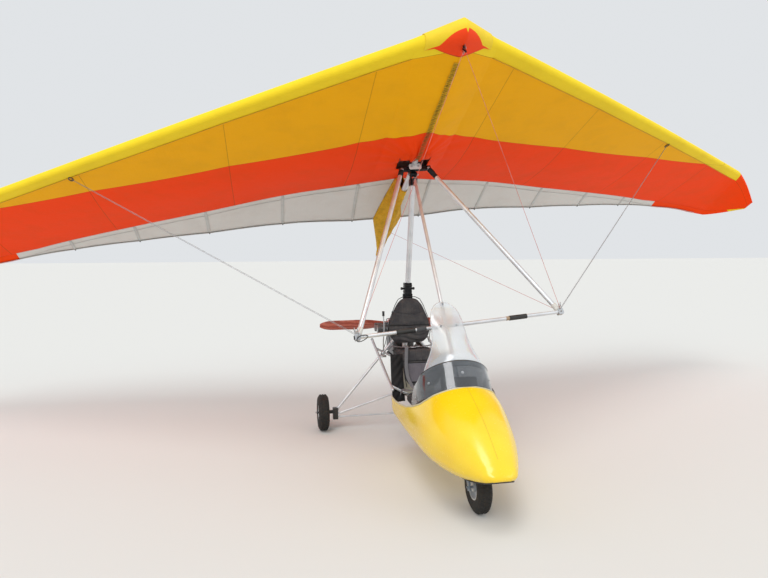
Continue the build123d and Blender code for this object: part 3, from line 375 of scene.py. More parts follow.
def painted_steel(name, colour, worn):
    """Welded steel, sprayed: a soft shine with dull dusty patches."""
    m = new_material(name, colour, 0.4, 0.0, Coat_Weight=0.2, Coat_Roughness=0.25)
    dust = noise(m, 22, 5, 0.65)
    colour_from(m, blend(m, share_of(m, dust, 0.45), colour, worn))
    roughness_from(m, dust, 0.32, 0.6)
    return m


def stranded_wire():
    """Stainless stranded cable: the lay of the strands, drawn coarser than its 0.5 mm so that it shows."""
    m = new_material("stranded_stainless_cable", "#8F9194", 0.35, 1.0)
    lay = add(m, "ShaderNodeTexWave", {"Scale": 260.0, "Distortion": 0.0, "bands_direction": "DIAGONAL"},
              {"Vector": place_of(m)}).outputs["Fac"]
    bump_from(m, lay, 0.0003)
    return m


def pod_gelcoat():
    """Moulded glass fibre with a yellow gelcoat: glossy, with faint ripples of the mould and some dust."""
    m = new_material("yellow_gelcoat_fibreglass", "#F0CC17", 0.24, 0.0, Coat_Weight=0.5, Coat_Roughness=0.10)
    cloud = noise(m, 4, 3)
    dust = ramp(m, noise(m, 26, 6, 0.7), [(0.62, "#000000"), (0.86, "#FFFFFF")])
    plain = ramp(m, cloud, [(0.35, "#EFC912"), (0.65, "#F2D01F")])
    colour_from(m, blend(m, share_of(m, dust, 0.12), plain, "#B99A3C"))
    roughness_from(m, noise(m, 60, 5, 0.7), 0.20, 0.32)
    bump_from(m, noise(m, 7, 2), 0.0006)
    return m


def sheet_plastic(name, colour, roughness, transmission):
    """Clear or tinted sheet, bent cold: glossy, with a milky haze from the sun and from rubbing."""
    m = new_material(name, colour, roughness, 0.0, IOR=1.58, Transmission_Weight=transmission,
                     Specular_IOR_Level=0.25, Coat_Weight=1.0, Coat_Roughness=0.17)
    roughness_from(m, noise(m, 35, 5, 0.7), roughness * 0.5, roughness * 2.2)
    return m


def moulded_plastic(name, colour, grain_mm=1.2):
    """Moulded plastic with a fine even grain."""
    m = new_material(name, colour, 0.5)
    grain = noise(m, 1 / (grain_mm * MM), 2)
    colour_from(m, blend(m, share_of(m, noise(m, 12, 4), 0.35), colour, "#4B4A47"))
    bump_from(m, grain, 0.00025)
    return m


def tyre_rubber():
    """Vulcanised rubber that has run on grass: black-brown, matt, with dried dust in its hollows."""
    m = new_material("dusty_tyre_rubber", "#1D1B19", 0.8)
    dust = noise(m, 30, 6, 0.7)
    colour_from(m, ramp(m, dust, [(0.35, "#151413"), (0.6, "#282420"), (0.8, "#57493A")]))
    roughness_from(m, dust, 0.7, 0.92)
    bump_from(m, noise(m, 320, 3), 0.0004)
    return m


def cast_metal():
    """Sand-cast aluminium, bead blasted: grey, matt and faintly pitted, with oily stains."""
    m = new_material("cast_aluminium", "#7B7C7E", 0.5, 0.85)
    stain = noise(m, 18, 5, 0.6)
    colour_from(m, ramp(m, stain, [(0.3, "#5F6062"), (0.55, "#85868A"), (0.8, "#3A3835")]))
    bump_from(m, noise(m, 420, 3), 0.0003)
    return m


def hot_steel():
    """Mild steel exhaust, browned by heat."""
    m = new_material("heat_browned_steel", "#5E534C", 0.5, 0.9)
    colour_from(m, ramp(m, noise(m, 14, 5), [(0.3, "#43352D"), (0.55, "#6B5F58"), (0.8, "#84705A")]))
    return m


def blade_varnish():
    """Laminated beech blades, varnished red-brown: layers of the wood under a clear gloss."""
    m = new_material("varnished_laminated_beech", "#A8452F", 0.35, 0.0, Coat_Weight=1.0, Coat_Roughness=0.12)
    layers = add(m, "ShaderNodeTexWave", {"Scale": 28.0, "Distortion": 2.5, "bands_direction": "Y"},
                 {"Vector": place_of(m)}).outputs["Fac"]
    colour_from(m, ramp(m, layers, [(0.2, "#9A3A26"), (0.5, "#B04A34"), (0.85, "#C0604A")]))
    return m


def coated_wire():
    """Stainless cable in a clear sleeve that has gone red-pink, slightly soft in its shine."""
    m = new_material("sleeved_red_cable", "#C4574B", 0.4, 0.0, Coat_Weight=0.4, Coat_Roughness=0.2)
    colour_from(m, ramp(m, noise(m, 15, 4), [(0.35, "#B8463C"), (0.7, "#D98C80")]))
    return m


def zinc_steel():
    """Zinc-plated steel fasteners, turned and passivated: pale and softly mirrored."""
    m = new_material("zinc_plated_steel", "#B4B6B8", 0.32, 1.0)
    roughness_from(m, noise(m, 120, 3), 0.25, 0.45)
    return m


def cut_places(material):
    """The cloth's own places: x out from the keel, y back, and how far round the cloth a point lies."""
    cut = add(material, "ShaderNodeAttribute", {"attribute_name": "cut"}).outputs["Vector"]
    return add(material, "ShaderNodeSeparateXYZ", None, {"Vector": cut}).outputs


def above(material, value, limit):
    return maths(material, "GREATER_THAN", value, limit)


def stripe(material, value, middle, half):
    """1 on a thin line where the value is within half of the middle."""
    away = maths(material, "ABSOLUTE", maths(material, "SUBTRACT", value, middle))
    return maths(material, "LESS_THAN", away, half)


LEMON = "#F6D72A"                # leading edge cloth
DEEP_YELLOW = "#F7B208"
ORANGE_RED = "#FF4400"
OLD_WHITE = "#DCDCD8"
RIB_SHADE_LINES = (0.52, 1.60, 2.80, 3.90)    # painted shade lines where ribs press on the lower skin from inside, out from the keel
HEM_BEHIND = 0.088               # the lemon cloth's edge below, measured behind the leading edge
LEMON_ON_TOP = 0.42              # and its edge on top
BAND_AHEAD = 0.411               # where the orange-red band starts at the keel, ahead of the hang bolt
BAND_SLOPE = 0.288               # how far back its edge goes for each metre outwards
ORANGE_TIP_TOP = 3.86            # the tips are orange-red outside these places on the two skins
ORANGE_TIP_BELOW = 4.78
# the seams' brown, also used for the painted shade lines along the ribs
SEAM_AND_RIB_SHADE_BROWN = "#7A4A10"


WAVES_PER_SCALE = 20             # waves in a metre for each unit of a wave texture's scale


def weave_relief(material, thread_mm):
    """A plain weave of that thread spacing as relief, drawn coarser than the real 0.4 mm so that it shows."""
    place = place_of(material)
    per_metre = 1 / (thread_mm * MM) / WAVES_PER_SCALE
    threads = [add(material, "ShaderNodeTexWave", {"Scale": per_metre, "bands_direction": way},
                   {"Vector": place}) for way in "XY"]
    return share_of(material, threads[0].outputs["Fac"], threads[1].outputs["Fac"])


def sailcloth():
    """Coated woven polyester sailcloth, cut in dyed panels: a dull sheen, faint weave and handling marks.

    The bands follow the cut: lemon round the leading edge, deep yellow and then orange-red on the lower skin,
    white on top and on the single cloth behind, orange-red at the tips. Thin lines of painted shade lie along
    the ribs on the lower skin, where the cloth creases."""
    m = new_material("coated_polyester_sailcloth", DEEP_YELLOW, 0.7, 0.0, Specular_IOR_Level=0.14)
    out, back, behind = cut_places(m)
    # the band's edge turns forward near the keel, by 0.175 m that fade away with 0.04076 to the power of x
    near_keel = share_of(m, maths(m, "POWER", 0.04076, out), 0.175)
    band = maths(m, "SUBTRACT", maths(m, "ADD", back, BAND_AHEAD), share_of(m, out, BAND_SLOPE))
    band = maths(m, "ADD", band, near_keel)
    lower = blend(m, above(m, band, 0.0), DEEP_YELLOW, ORANGE_RED)
    tip_white = blend(m, above(m, out, ORANGE_TIP_TOP), OLD_WHITE, ORANGE_RED)
    upper = blend(m, above(m, behind, -LEMON_ON_TOP), tip_white, LEMON)
    both_skins = blend(m, above(m, behind, HEM_BEHIND), upper, lower)
    far_tip = share_of(m, above(m, out, ORANGE_TIP_BELOW), above(m, behind, 0.0))
    both_skins = blend(m, far_tip, both_skins, ORANGE_RED)
    seams_and_rib_shade = maths(m, "MAXIMUM", stripe(m, behind, HEM_BEHIND, 0.0022), stripe(m, band, 0.0, 0.0018))
    # thin lines of painted shade along the ribs on the lower skin, darkened with the seams' brown
    for place in RIB_SHADE_LINES:
        rib_shade = share_of(m, stripe(m, out, place, 0.0035), above(m, behind, 0.10))
        seams_and_rib_shade = maths(m, "MAXIMUM", seams_and_rib_shade, share_of(m, rib_shade, 0.7))
    seamed_and_rib_shaded = blend(m, share_of(m, seams_and_rib_shade, 0.55), both_skins, SEAM_AND_RIB_SHADE_BROWN)
    grime = ramp(m, noise(m, 3.2, 6, 0.62), [(0.46, "#000000"), (0.78, "#FFFFFF")])
    streak = noise(m, 26, 4, 0.7, place_of(m, (0.25, 1.0, 1.0)))
    dirt = maths(m, "ADD", share_of(m, grime, 0.12), share_of(m, streak, 0.05))
    colour_from(m, blend(m, dirt, seamed_and_rib_shaded, "#7E5A22"))
    roughness_from(m, noise(m, 45, 4, 0.6), 0.55, 0.8)
    creases = noise(m, 5.5, 5, 0.55)
    bump_from(m, maths(m, "ADD", creases, share_of(m, weave_relief(m, 5.0), 0.03)), 0.010, 0.6)
    return m


def plain_cloth(name, colour, dark, thread_mm=4.0, roughness=0.7):
    """Sewn polyester tape or cloth in one colour, a little soiled."""
    m = new_material(name, colour, roughness, 0.0, Specular_IOR_Level=0.3)
    soil = ramp(m, noise(m, 9, 6, 0.65), [(0.4, "#000000"), (0.85, "#FFFFFF")])
    colour_from(m, blend(m, share_of(m, soil, 0.35), colour, dark))
    bump_from(m, weave_relief(m, thread_mm), 0.0004)
    return m


def cone_cloth():
    """The nose cap's cloth: lemon above and orange-red below, with a notch in the middle.

    The third value is the share round the cap: 0 on top, 1 below the leading edge and 2 at the rear edge."""
    m = new_material("sewn_cone_cloth", ORANGE_RED, 0.6, 0.0, Specular_IOR_Level=0.3)
    out, _, share = cut_places(m)
    notch = share_of(m, maths(m, "SUBTRACT", 0.010, out, True), 14.0)
    bow = share_of(m, maths(m, "POWER", out, 3.0), 110.0)
    line = maths(m, "SUBTRACT", maths(m, "SUBTRACT", share, bow), notch)
    dyed = blend(m, above(m, line, 0.62), LEMON, ORANGE_RED)
    hem = share_of(m, above(m, share, 1.93), 0.35)
    soil = share_of(m, noise(m, 12, 5, 0.6), 0.22)
    colour_from(m, blend(m, maths(m, "ADD", hem, soil), dyed, "#8A2A10"))
    bump_from(m, noise(m, 16, 4, 0.5), 0.004, 0.5)
    return m


def sock_cloth():
    """The keel pocket's old yellow cloth, worn along its folds and soiled olive."""
    m = new_material("worn_pocket_cloth", "#C9A21E", 0.8, 0.0, Specular_IOR_Level=0.3)
    streaks = noise(m, 22, 6, 0.7, place_of(m, (1.0, 0.35, 1.0)))
    tones = [(0.30, "#A88A1E"), (0.46, "#C8991A"), (0.62, "#D8A824"), (0.80, "#B49A4A")]
    colour_from(m, ramp(m, streaks, tones))
    bump_from(m, noise(m, 40, 5, 0.6), 0.003, 0.7)
    return m


SAILCLOTH = sailcloth()
WHITE_CLOTH = plain_cloth("white_sewn_cloth", "#C9CBC8", "#7D7F7C")
YELLOW_TAPE = plain_cloth("yellow_hem_tape", "#D9A21A", "#8A6414")
ZIP_YELLOW = plain_cloth("yellow_zip_tape", "#D2A11A", "#A07E1C")
ZIP_ORANGE = plain_cloth("orange_zip_tape", "#DE4C22", "#B05A40")
WORN_CORD = plain_cloth("waxed_lacing_cord", "#8A7428", "#5E4E20", 1.5)
CONE_CLOTH = cone_cloth()
SOCK_CLOTH = sock_cloth()


def seat_cloth():
    """Coated nylon pack cloth, charcoal and worn brown, with panels of a paler violet-grey cloth."""
    m = new_material("charcoal_pack_cloth", "#302F32", 0.9, 0.0, Specular_IOR_Level=0.3)
    wear = noise(m, 11, 6, 0.7)
    worn = ramp(m, wear, [(0.40, "#000000"), (0.75, "#FFFFFF")])
    fold = ramp(m, noise(m, 14, 4, 0.6, place_of(m, (0.7, 1, 1))), [(0.50, "#000000"), (0.80, "#FFFFFF")])
    plain = blend(m, share_of(m, worn, 0.55), "#3A393C", "#64605C")
    plain = blend(m, share_of(m, fold, 0.15), plain, "#756E68")
    panel = blend(m, share_of(m, worn, 0.4), "#605C62", "#7C777C")
    marked = add(m, "ShaderNodeAttribute", {"attribute_name": "panel"}).outputs["Fac"]
    colour_from(m, blend(m, above(m, marked, 0.5), plain, panel))
    bump_from(m, maths(m, "ADD", weave_relief(m, 2.5), share_of(m, wear, 1.5)), 0.0008)
    return m


def filter_gauze():
    """Pleated wire gauze of an air filter, oiled: dull metal with dust in the pleats."""
    m = new_material("oiled_filter_gauze", "#6E6F70", 0.55, 0.8)
    colour_from(m, ramp(m, noise(m, 60, 4, 0.7), [(0.35, "#4C4B49"), (0.7, "#85868A")]))
    bump_from(m, weave_relief(m, 2.0), 0.0006)
    return m


TUBE = anodised_tube()
BLACK = black_anodised()
BLACK_STEEL = painted_steel("black_sprayed_steel", "#161618", "#4A453E")
FORK_PAINT = painted_steel("grey_blue_sprayed_steel", "#6B7B8C", "#8C877C")
WIRE = stranded_wire()
RED_WIRE = coated_wire()
POD_YELLOW = pod_gelcoat()
CLEAR = sheet_plastic("clear_polycarbonate", "#F3F7FA", 0.09, 0.72)
SMOKED = sheet_plastic("smoked_acrylic", "#6F757B", 0.05, 0.86)
POLISHED_EDGE = sheet_plastic("polished_sheet_edge", "#DDE6EA", 0.12, 0.5)
BLACK_PLASTIC = moulded_plastic("black_moulded_abs", "#161617")
TANK_PLASTIC = moulded_plastic("natural_polyethylene", "#D8D4C4", 2.0)
RUBBER = tyre_rubber()
BLACK_RUBBER = moulded_plastic("black_edge_rubber", "#151515", 2.0)
CREAM_RUBBER = moulded_plastic("cream_edge_rubber", "#D2C9A4", 2.0)
CAST = cast_metal()
HOT = hot_steel()
BLADE = blade_varnish()
STEEL = zinc_steel()
WHITE_PLASTIC = moulded_plastic("white_nylon", "#DDDBD4", 2.0)
BLACK_CLOTH = plain_cloth("black_strap_cloth", "#1A1A1B", "#3F3D3B", 2.0)
GREY_TAPE = plain_cloth("grey_grip_tape", "#4A4A4C", "#222223", 2.0)
SEAT_SIDE = plain_cloth("black_side_cloth", "#1F1E1F", "#45413E", 2.5)
FILTER = filter_gauze()
TAN_TAPE = plain_cloth("tan_grip_tape", "#A48C74", "#5D5046", 2.0)
BARE_FIBREGLASS = plain_cloth("bare_grey_fibreglass", "#55534F", "#33312E", 3.0)
SEAM_FILLER = plain_cloth("yellow_seam_filler", "#B79B1C", "#7D6A18", 2.0, 0.4)
WHITE_PLATE = painted_steel("white_enamelled_plate", "#DAD8D6", "#8F8B88")
SEAT = seat_cloth()
WEBBING = plain_cloth("grey_nylon_webbing", "#6E6D70", "#39383A", 2.0)
PIPING = plain_cloth("black_welt_piping", "#1C1B1C", "#3C3A38", 2.0)
FOAM = moulded_plastic("black_grip_foam", "#121212", 3.0)

MATERIAL_NODES = [
    (TUBE, "keel_tube mast front_strut seat_frame rear_struts wing_keel uprights base_bar kingpost "
           "propeller_hub foot_bar front_rim rear_left_rim rear_right_rim"),
    (BLACK, "mast_head frame_fittings steering_head engine_mount hang_block apex_bracket"),
    (CAST, "engine gearbox carburettors"),
    (RUBBER, "front_tyre rear_left_tyre rear_right_tyre"),
    (SEAT, "front_cushion front_backrest rear_cushion rear_backrest"),
    (SAILCLOTH, "sail_left sail_right"),
    (WIRE, "side_wires top_wires"),
    (BLACK_PLASTIC, "instrument_panel mudguard"),
    (BLACK_STEEL, "hub_brackets"),
    (TANK_PLASTIC, "fuel_tank"),
    (POD_YELLOW, "pod"),
    (SMOKED, "lower_screen"),
    (CLEAR, "upper_screen"),
    (HOT, "exhaust"),
    (FOAM, "bar_grips"),
    (STEEL, "wing_fittings"),
    (RED_WIRE, "fore_aft_wires"),
    (BLADE, "propeller"),
    (FORK_PAINT, "fork"),
    (CONE_CLOTH, "nose_cone"),
    (SOCK_CLOTH, "keel_pocket")]
for node_material, node_names in MATERIAL_NODES:
    for node_name in node_names.split():
        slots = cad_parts[node_name].data.materials
        slots.clear()
        slots.append(node_material)


# The sail: one long strip of cloth on each side, over the top, round the leading edge and back underneath

NOSE_Y = -1.561
LE_ANGLE = 61.85                 # degrees between the keel and a leading edge
LE_RISE = 2.935                  # degrees of dihedral
LE_BOW = 0.182
LE_Z = 0.065
LE_END_RISE = 0.046
SPAN_INNER = 4.766               # where the leading edge tube ends
SPAN_TIP = 5.105
TE_ROOT_Y = 1.169
TE_SLOPE = 0.163
UNDER_ROOT_Y = 0.490             # rear edge of the lower skin
UNDER_SLOPE = 0.315
KNEE_ROOT_Y = -0.070             # where the lower skin turns up
KNEE_SLOPE = 0.30
CAMBER = 0.072
NOSE_REACH = 0.3                 # the nose is rounder and lower inside this x
NOSE_DROP = 0.023
NOSE_ROUND = 0.034
LE_RADIUS = 0.040
LE_TAPER = 0.006
CREST_AT = 0.30                  # the top skin's highest point, as a share of the chord
KNEE_SOFT = 0.10                 # half the length of the knee's bend, as a share of the chord
KEEL_GAP = 0.006                 # between the keel tube and the cloth
TRAILING_SCALLOP = 0.010
APEX_Y = -0.16                   # the lower skin's folds fan out from here
KEEL_R = 0.025
TRAILING_X = [0, 0.46, 1.0, 1.9, 2.6, 3.6, 4.3, SPAN_INNER]
TRAILING_Z = [0.105, 0.155, 0.225, 0.262, 0.292, 0.305, 0.250, 0.165]
TIP_FROM = 4.4                   # the smooth run to the tip starts here
TIP_X = [5.0, SPAN_TIP]
# leading y, z, trailing y, z and leading radius at the two tip stations
TIP_ROWS = [(1.345, 0.205, 1.760, 0.095, 0.020), (1.448, 0.062, 1.590, 0.042, 0.009)]
UNDER_RIBS = [0.0, 0.52, 1.60, 2.80, 3.90, SPAN_TIP]
TOP_RIBS = [0.0, 0.38, 1.12, 1.90, 2.63, 3.30, 3.95, 4.50, SPAN_TIP]


def inner_edges(x):
    """Leading edge y and z, trailing edge y and z, and leading radius, out to the leading edge's end."""
    share = x / SPAN_INNER
    near = np.clip(1 - x / NOSE_REACH, 0, 1)
    return (NOSE_Y + x / tan(radians(LE_ANGLE)) + LE_BOW * share ** 2,
            LE_Z + x * tan(radians(LE_RISE)) + LE_END_RISE * share ** 4 - NOSE_DROP * near,
            TE_ROOT_Y + TE_SLOPE * x,
            curve_through(TRAILING_X, TRAILING_Z, x),
            LE_RADIUS - LE_TAPER * share + NOSE_ROUND * near)


def sail_edges(x):
    """The same five values all the way out: past the tube they run on smoothly to the tip."""
    ends = inner_edges(np.array([TIP_FROM, SPAN_INNER]))
    values = []
    for k, inner in enumerate(inner_edges(np.minimum(x, SPAN_INNER))):
        tip = curve_through([TIP_FROM, SPAN_INNER, *TIP_X], [*ends[k], TIP_ROWS[0][k], TIP_ROWS[1][k]], x)
        values.append(np.where(x > SPAN_INNER, tip, inner))
    return values


def soft_ramp(d, h):
    """0 before -h and d after h, with a parabola between."""
    return np.where(d < -h, 0, np.where(d > h, d, (d + h) ** 2 / (4 * h)))


def scallop(x, ribs):
    """0 at each rib and 1 half way between two: cloth is pulled in at the ribs and swells between them."""
    ribs = np.array(ribs)
    i = np.clip(np.searchsorted(ribs, x) - 1, 0, len(ribs) - 2)
    p = np.clip((x - ribs[i]) / (ribs[i + 1] - ribs[i]), 0, 1)
    return 4 * p * (1 - p)


class Chords:
    """Sections of the sail at the places x, an array. Heights w are from the chord line and u is along it.

    The top is an arc from the leading edge's circle up to the crest and an arc from there down to the
    trailing edge. The lower skin is two straight runs with a soft knee between them."""

    def __init__(self, x):
        self.x = np.asarray(x, float)
        self.le_y, self.le_z, te_y, te_z, self.r = sail_edges(self.x)
        self.length = np.hypot(te_y - self.le_y, te_z - self.le_z)
        self.tilt = np.arctan2(te_z - self.le_z, te_y - self.le_y)
        self.crest = CREST_AT * self.length
        self.height = np.maximum(CAMBER * self.length, 1.25 * self.r)
        self.front_r = (self.crest ** 2 + self.height ** 2 - self.r ** 2) / (2 * (self.height - self.r))
        self.rear_r = ((self.length - self.crest) ** 2 + self.height ** 2) / (2 * self.height)
        near = np.clip(1 - self.x / NOSE_REACH, 0, 1)
        self.knee = np.minimum(self.along(KNEE_ROOT_Y + KNEE_SLOPE * self.x), 0.62 * self.length)
        below_keel = (-KEEL_R - KEEL_GAP - self.le_z - self.knee * np.sin(self.tilt)) / np.cos(self.tilt)
        self.knee_w = -0.45 * self.r * (1 - near) + below_keel * near
        self.under_end = np.minimum(self.along(under_rear(self.x)), 0.90 * self.length)
        self.under_w = self.top(self.under_end) - 0.004

    def along(self, y):
        return (y - self.le_y) / np.cos(self.tilt)

    def top(self, u):
        arc = np.where(u > self.crest, self.rear_r, self.front_r)
        return self.height - arc + np.sqrt(np.maximum(arc ** 2 - (u - self.crest) ** 2, 0))

    def under(self, u):
        first = (self.knee_w + self.r) / self.knee
        second = (self.under_w - self.knee_w) / (self.under_end - self.knee)
        return -self.r + first * u + (second - first) * soft_ramp(u - self.knee, KNEE_SOFT * self.length)

    def touch(self):
        """Angle on the leading edge's circle where the front arc leaves it."""
        return np.arctan2(self.front_r - self.height, -self.crest)

    def at(self, u, w):
        c, s = np.cos(self.tilt), np.sin(self.tilt)
        return np.stack(np.broadcast_arrays(self.x, self.le_y + u * c - w * s, self.le_z + u * s + w * c), -1)


def under_rear(x):
    """Where the lower skin ends, as y at a place x."""
    return UNDER_ROOT_Y + UNDER_SLOPE * x


def top_swell(x, u, chords):
    """How far the top skin stands above its plain shape: swollen between ribs."""
    return 0.008 * scallop(x, TOP_RIBS) * np.sin(pi * np.clip(u / chords.length, 0, 1)) ** 0.6


def under_swell(x, u, chords):
    """How far the lower skin stands below its plain shape: swollen between ribs, with folds fanning from the
    apex and short puckers beside the zip along the keel."""
    share = np.clip(u / chords.under_end, 0, 1)
    swell = 0.013 * scallop(x, UNDER_RIBS) * np.sin(pi * share) ** 0.7
    y = chords.le_y + u
    away = np.hypot(x, y - APEX_Y)
    turn = np.arctan2(y - APEX_Y, x + 1e-6)
    folds = 0.009 * np.sin(15 * turn + 1.2) * np.exp(-(away / 0.36) ** 2) * smooth_step(away / 0.10)
    puckers = 0.0022 * np.sin(2 * pi * y / 0.055) * np.exp(-(x / 0.05) ** 2) * (y < APEX_Y)
    pull = 0.004 * np.sin(2 * pi * (y * 0.9 + x * 0.4) / 0.31) * np.exp(-(x / 0.5) ** 2)
    return swell + folds + puckers + pull * np.sin(pi * share)


def sail_stations():
    """Places across one half, closer together beside every rib."""
    plain = np.linspace(0, SPAN_TIP, 150)
    beside = [rib + d for rib in UNDER_RIBS + TOP_RIBS for d in (-0.018, -0.006, 0.0, 0.006, 0.018)]
    near_keel = np.linspace(0, 0.3, 24)
    every = np.concatenate([plain, beside, near_keel])
    return np.unique(np.round(every[(every >= 0) & (every <= SPAN_TIP)], 4))


def sail_half_grid():
    """Points (station, round) of the left half, and for each the plan place and the distance behind the
    leading edge, negative on top: that is what the dyed bands and the seams follow."""
    x = sail_stations()[:, None]
    c = Chords(x)
    t = np.linspace(0, 1, 34)[None]
    u_rear = c.length + (c.crest - c.length) * t
    w_rear = c.top(u_rear) + top_swell(x, u_rear, c)
    u_rear = u_rear - TRAILING_SCALLOP * scallop(x, TOP_RIBS) * (1 - t) ** 6
    touch = c.touch()
    u_front = c.crest + (c.r * np.cos(touch) - c.crest) * np.linspace(0, 1, 15)[None, 1:]
    w_front = c.height - c.front_r + np.sqrt(c.front_r ** 2 - (u_front - c.crest) ** 2)
    w_front = w_front + top_swell(x, u_front, c)
    turn = touch + (1.5 * pi - touch) * np.linspace(0, 1, 11)[None, 1:]
    u_under = c.under_end * np.linspace(0, 1, 64)[None, 1:]
    w_under = c.under(u_under) - under_swell(x, u_under, c)
    u = np.concatenate([u_rear, u_front, c.r * np.cos(turn), u_under], 1)
    w = np.concatenate([w_rear, w_front, c.r * np.sin(turn), w_under], 1)
    points = c.at(u, w)
    behind = np.concatenate([-u_rear, -u_front, c.r * (turn - pi), u_under], 1)
    return points, np.stack(np.broadcast_arrays(x, points[..., 1], behind), -1)


def mark_cut(data, plan):
    """Stores on each point the places that the dyed bands follow."""
    cut = data.attributes.new("cut", "FLOAT_VECTOR", "POINT")
    cut.data.foreach_set("vector", plan.reshape(-1, 3).ravel())


def stretched(obj, flat, *rests_on):
    """For a sheet that is held taut: reads the area of its faces and keeps nothing; flat, its flat size, and
    rests_on, what it rests on, are not used.
    """
    areas = np.empty(len(obj.data.polygons))
    obj.data.polygons.foreach_get("area", areas)


HANG_HOLE = (0.150, -0.122, 0.066)           # half width, front and back of the opening for the hang fittings
POST_HOLE = (-0.095, 0.026)                  # place and radius of the kingpost's opening


def sail_half(name, side, replaced):
    """One half of the sail, with its openings left out of the grid."""
    points, plan = sail_half_grid()
    n, m = points.shape[:2]
    faces = faces_over(np.arange(n * m).reshape(n, m))
    if side > 0:
        faces = faces[:, ::-1]
    x, y, behind = plan.reshape(-1, 3)[faces].mean(1).T
    half, front, back = HANG_HOLE
    in_hang = (x < half) & (y > front) & (y < back) & (behind > 0)
    post_y, post_r = POST_HOLE
    in_post = (np.hypot(x, y - post_y) < post_r) & (behind < 0)
    data = Shape().add(in_row(signed(points, side)), [faces[~(in_hang | in_post)]]).mesh(name)
    mark_cut(data, plan)
    obj = piece(name, data, SAILCLOTH, "wing", replaces=(replaced,), thick=0.0008)
    stretched(obj, (5.3, 5.1), "uprights", "wing_keel")


def on_under(x, y, out=0.0):
    """Points on the lower skin at plan places, moved out of the cloth by out."""
    c = Chords(np.abs(x))
    u = c.along(np.asarray(y, float))
    return c.at(u, c.under(u) - under_swell(np.abs(x), u, c) - out)


def under_top(x, y, out=0.0):
    """Points below the top skin where it is single, moved down by out."""
    c = Chords(np.abs(x))
    u = c.along(np.asarray(y, float))
    return c.at(u, c.top(u) + top_swell(np.abs(x), u, c) - out)


def tape(shape, points, width, thick, side=(1, 0, 0)):
    """A flat strip along points of the wing's frame."""
    shape.sweep(in_row(points), slab_profile(width, thick), side)


def batten_pockets():
    """Sewn pockets on the single rear cloth, from the lower skin's edge to the trailing edge, and the end
    caps of the battens."""
    pockets, caps = Shape(), Shape()
    for side in (-1, 1):
        for x in TOP_RIBS[1:-1]:
            start, end = under_rear(x), TE_ROOT_Y + TE_SLOPE * x - 0.012
            if end - start < 0.08:
                continue
            y = np.linspace(start + 0.01, end, 16)
            path = signed(under_top(np.full(16, x), y, 0.0035), side)
            tape(pockets, path, 0.030, 0.003)
            caps.rod(in_row(path[-1] + [0, -0.004, 0.001]), in_row(path[-1] + [0, 0.018, 0.001]), 0.007, 10)
    piece("batten_pockets", pockets, WHITE_CLOTH, "wing")
    piece("batten_caps", caps, BLACK_PLASTIC, "wing")


def seam_tapes():
    """The hem behind the leading edge, the tape along the trailing edge and the sewn line behind the lower
    skin."""
    yellow, white = Shape(), Shape()
    backwards = (0, 1, 0)
    for side in (-1, 1):
        x = np.linspace(0.30, 4.70, 90)
        hem = on_under(x, Chords(x).le_y + HEM_BEHIND, 0.0022)
        tape(yellow, signed(hem, side), 0.012, 0.0016, backwards)
        c = Chords(np.linspace(0.02, 4.6, 90))
        edge = c.at(c.length - 0.012 - TRAILING_SCALLOP * scallop(c.x, TOP_RIBS), np.full(90, -0.002))
        tape(white, signed(edge, side), 0.022, 0.003, backwards)
        x = np.linspace(0.06, 3.7, 80)
        line = under_top(x, under_rear(x) + 0.075, 0.003)
        tape(white, signed(line, side), 0.010, 0.002, backwards)
    piece("leading_hems", yellow, YELLOW_TAPE, "wing")
    piece("trailing_tapes", white, WHITE_CLOTH, "wing")


ZIP_START = -1.36
ZIP_CHANGE = -0.586              # the sail turns from yellow to orange-red here, and the tape with it
ZIP_END = HANG_HOLE[1] - 0.012
LACE_HALF = 0.019
LACE_TURNS = 126


def keel_zip():
    """The laced zip along the keel under the nose: a tape, yellow and then orange as the sail is, with a cord
    that zigzags over it."""
    for name, start, end, cloth in (("zip_tape_front", ZIP_START, ZIP_CHANGE, ZIP_YELLOW),
                                    ("zip_tape_rear", ZIP_CHANGE, ZIP_END, ZIP_ORANGE)):
        strip = Shape()
        tape(strip, on_under(np.zeros(40), np.linspace(start, end, 40), 0.004), 0.044, 0.002)
        piece(name, strip, cloth, "wing")
    middle = on_under(np.zeros(LACE_TURNS), np.linspace(ZIP_START + 0.01, ZIP_END, LACE_TURNS), 0.0062)
    zigzag = LACE_HALF * np.where(np.arange(LACE_TURNS) % 2, 1.0, -1.0)[:, None] * [1, 0, 0]
    lace = Shape().sweep(in_row(middle + zigzag), ring(0.0017, 6), (0, 0, 1))
    piece("zip_lace", lace, WORN_CORD, "wing")


CONE_HALF = 0.24                 # half the nose cap's width
CONE_BOW = 0.055                 # how much further forward its rear edge lies at the ends
CONE_OUT = 0.0055                # how far it stands out of the sail
CONE_DEEP = 0.150


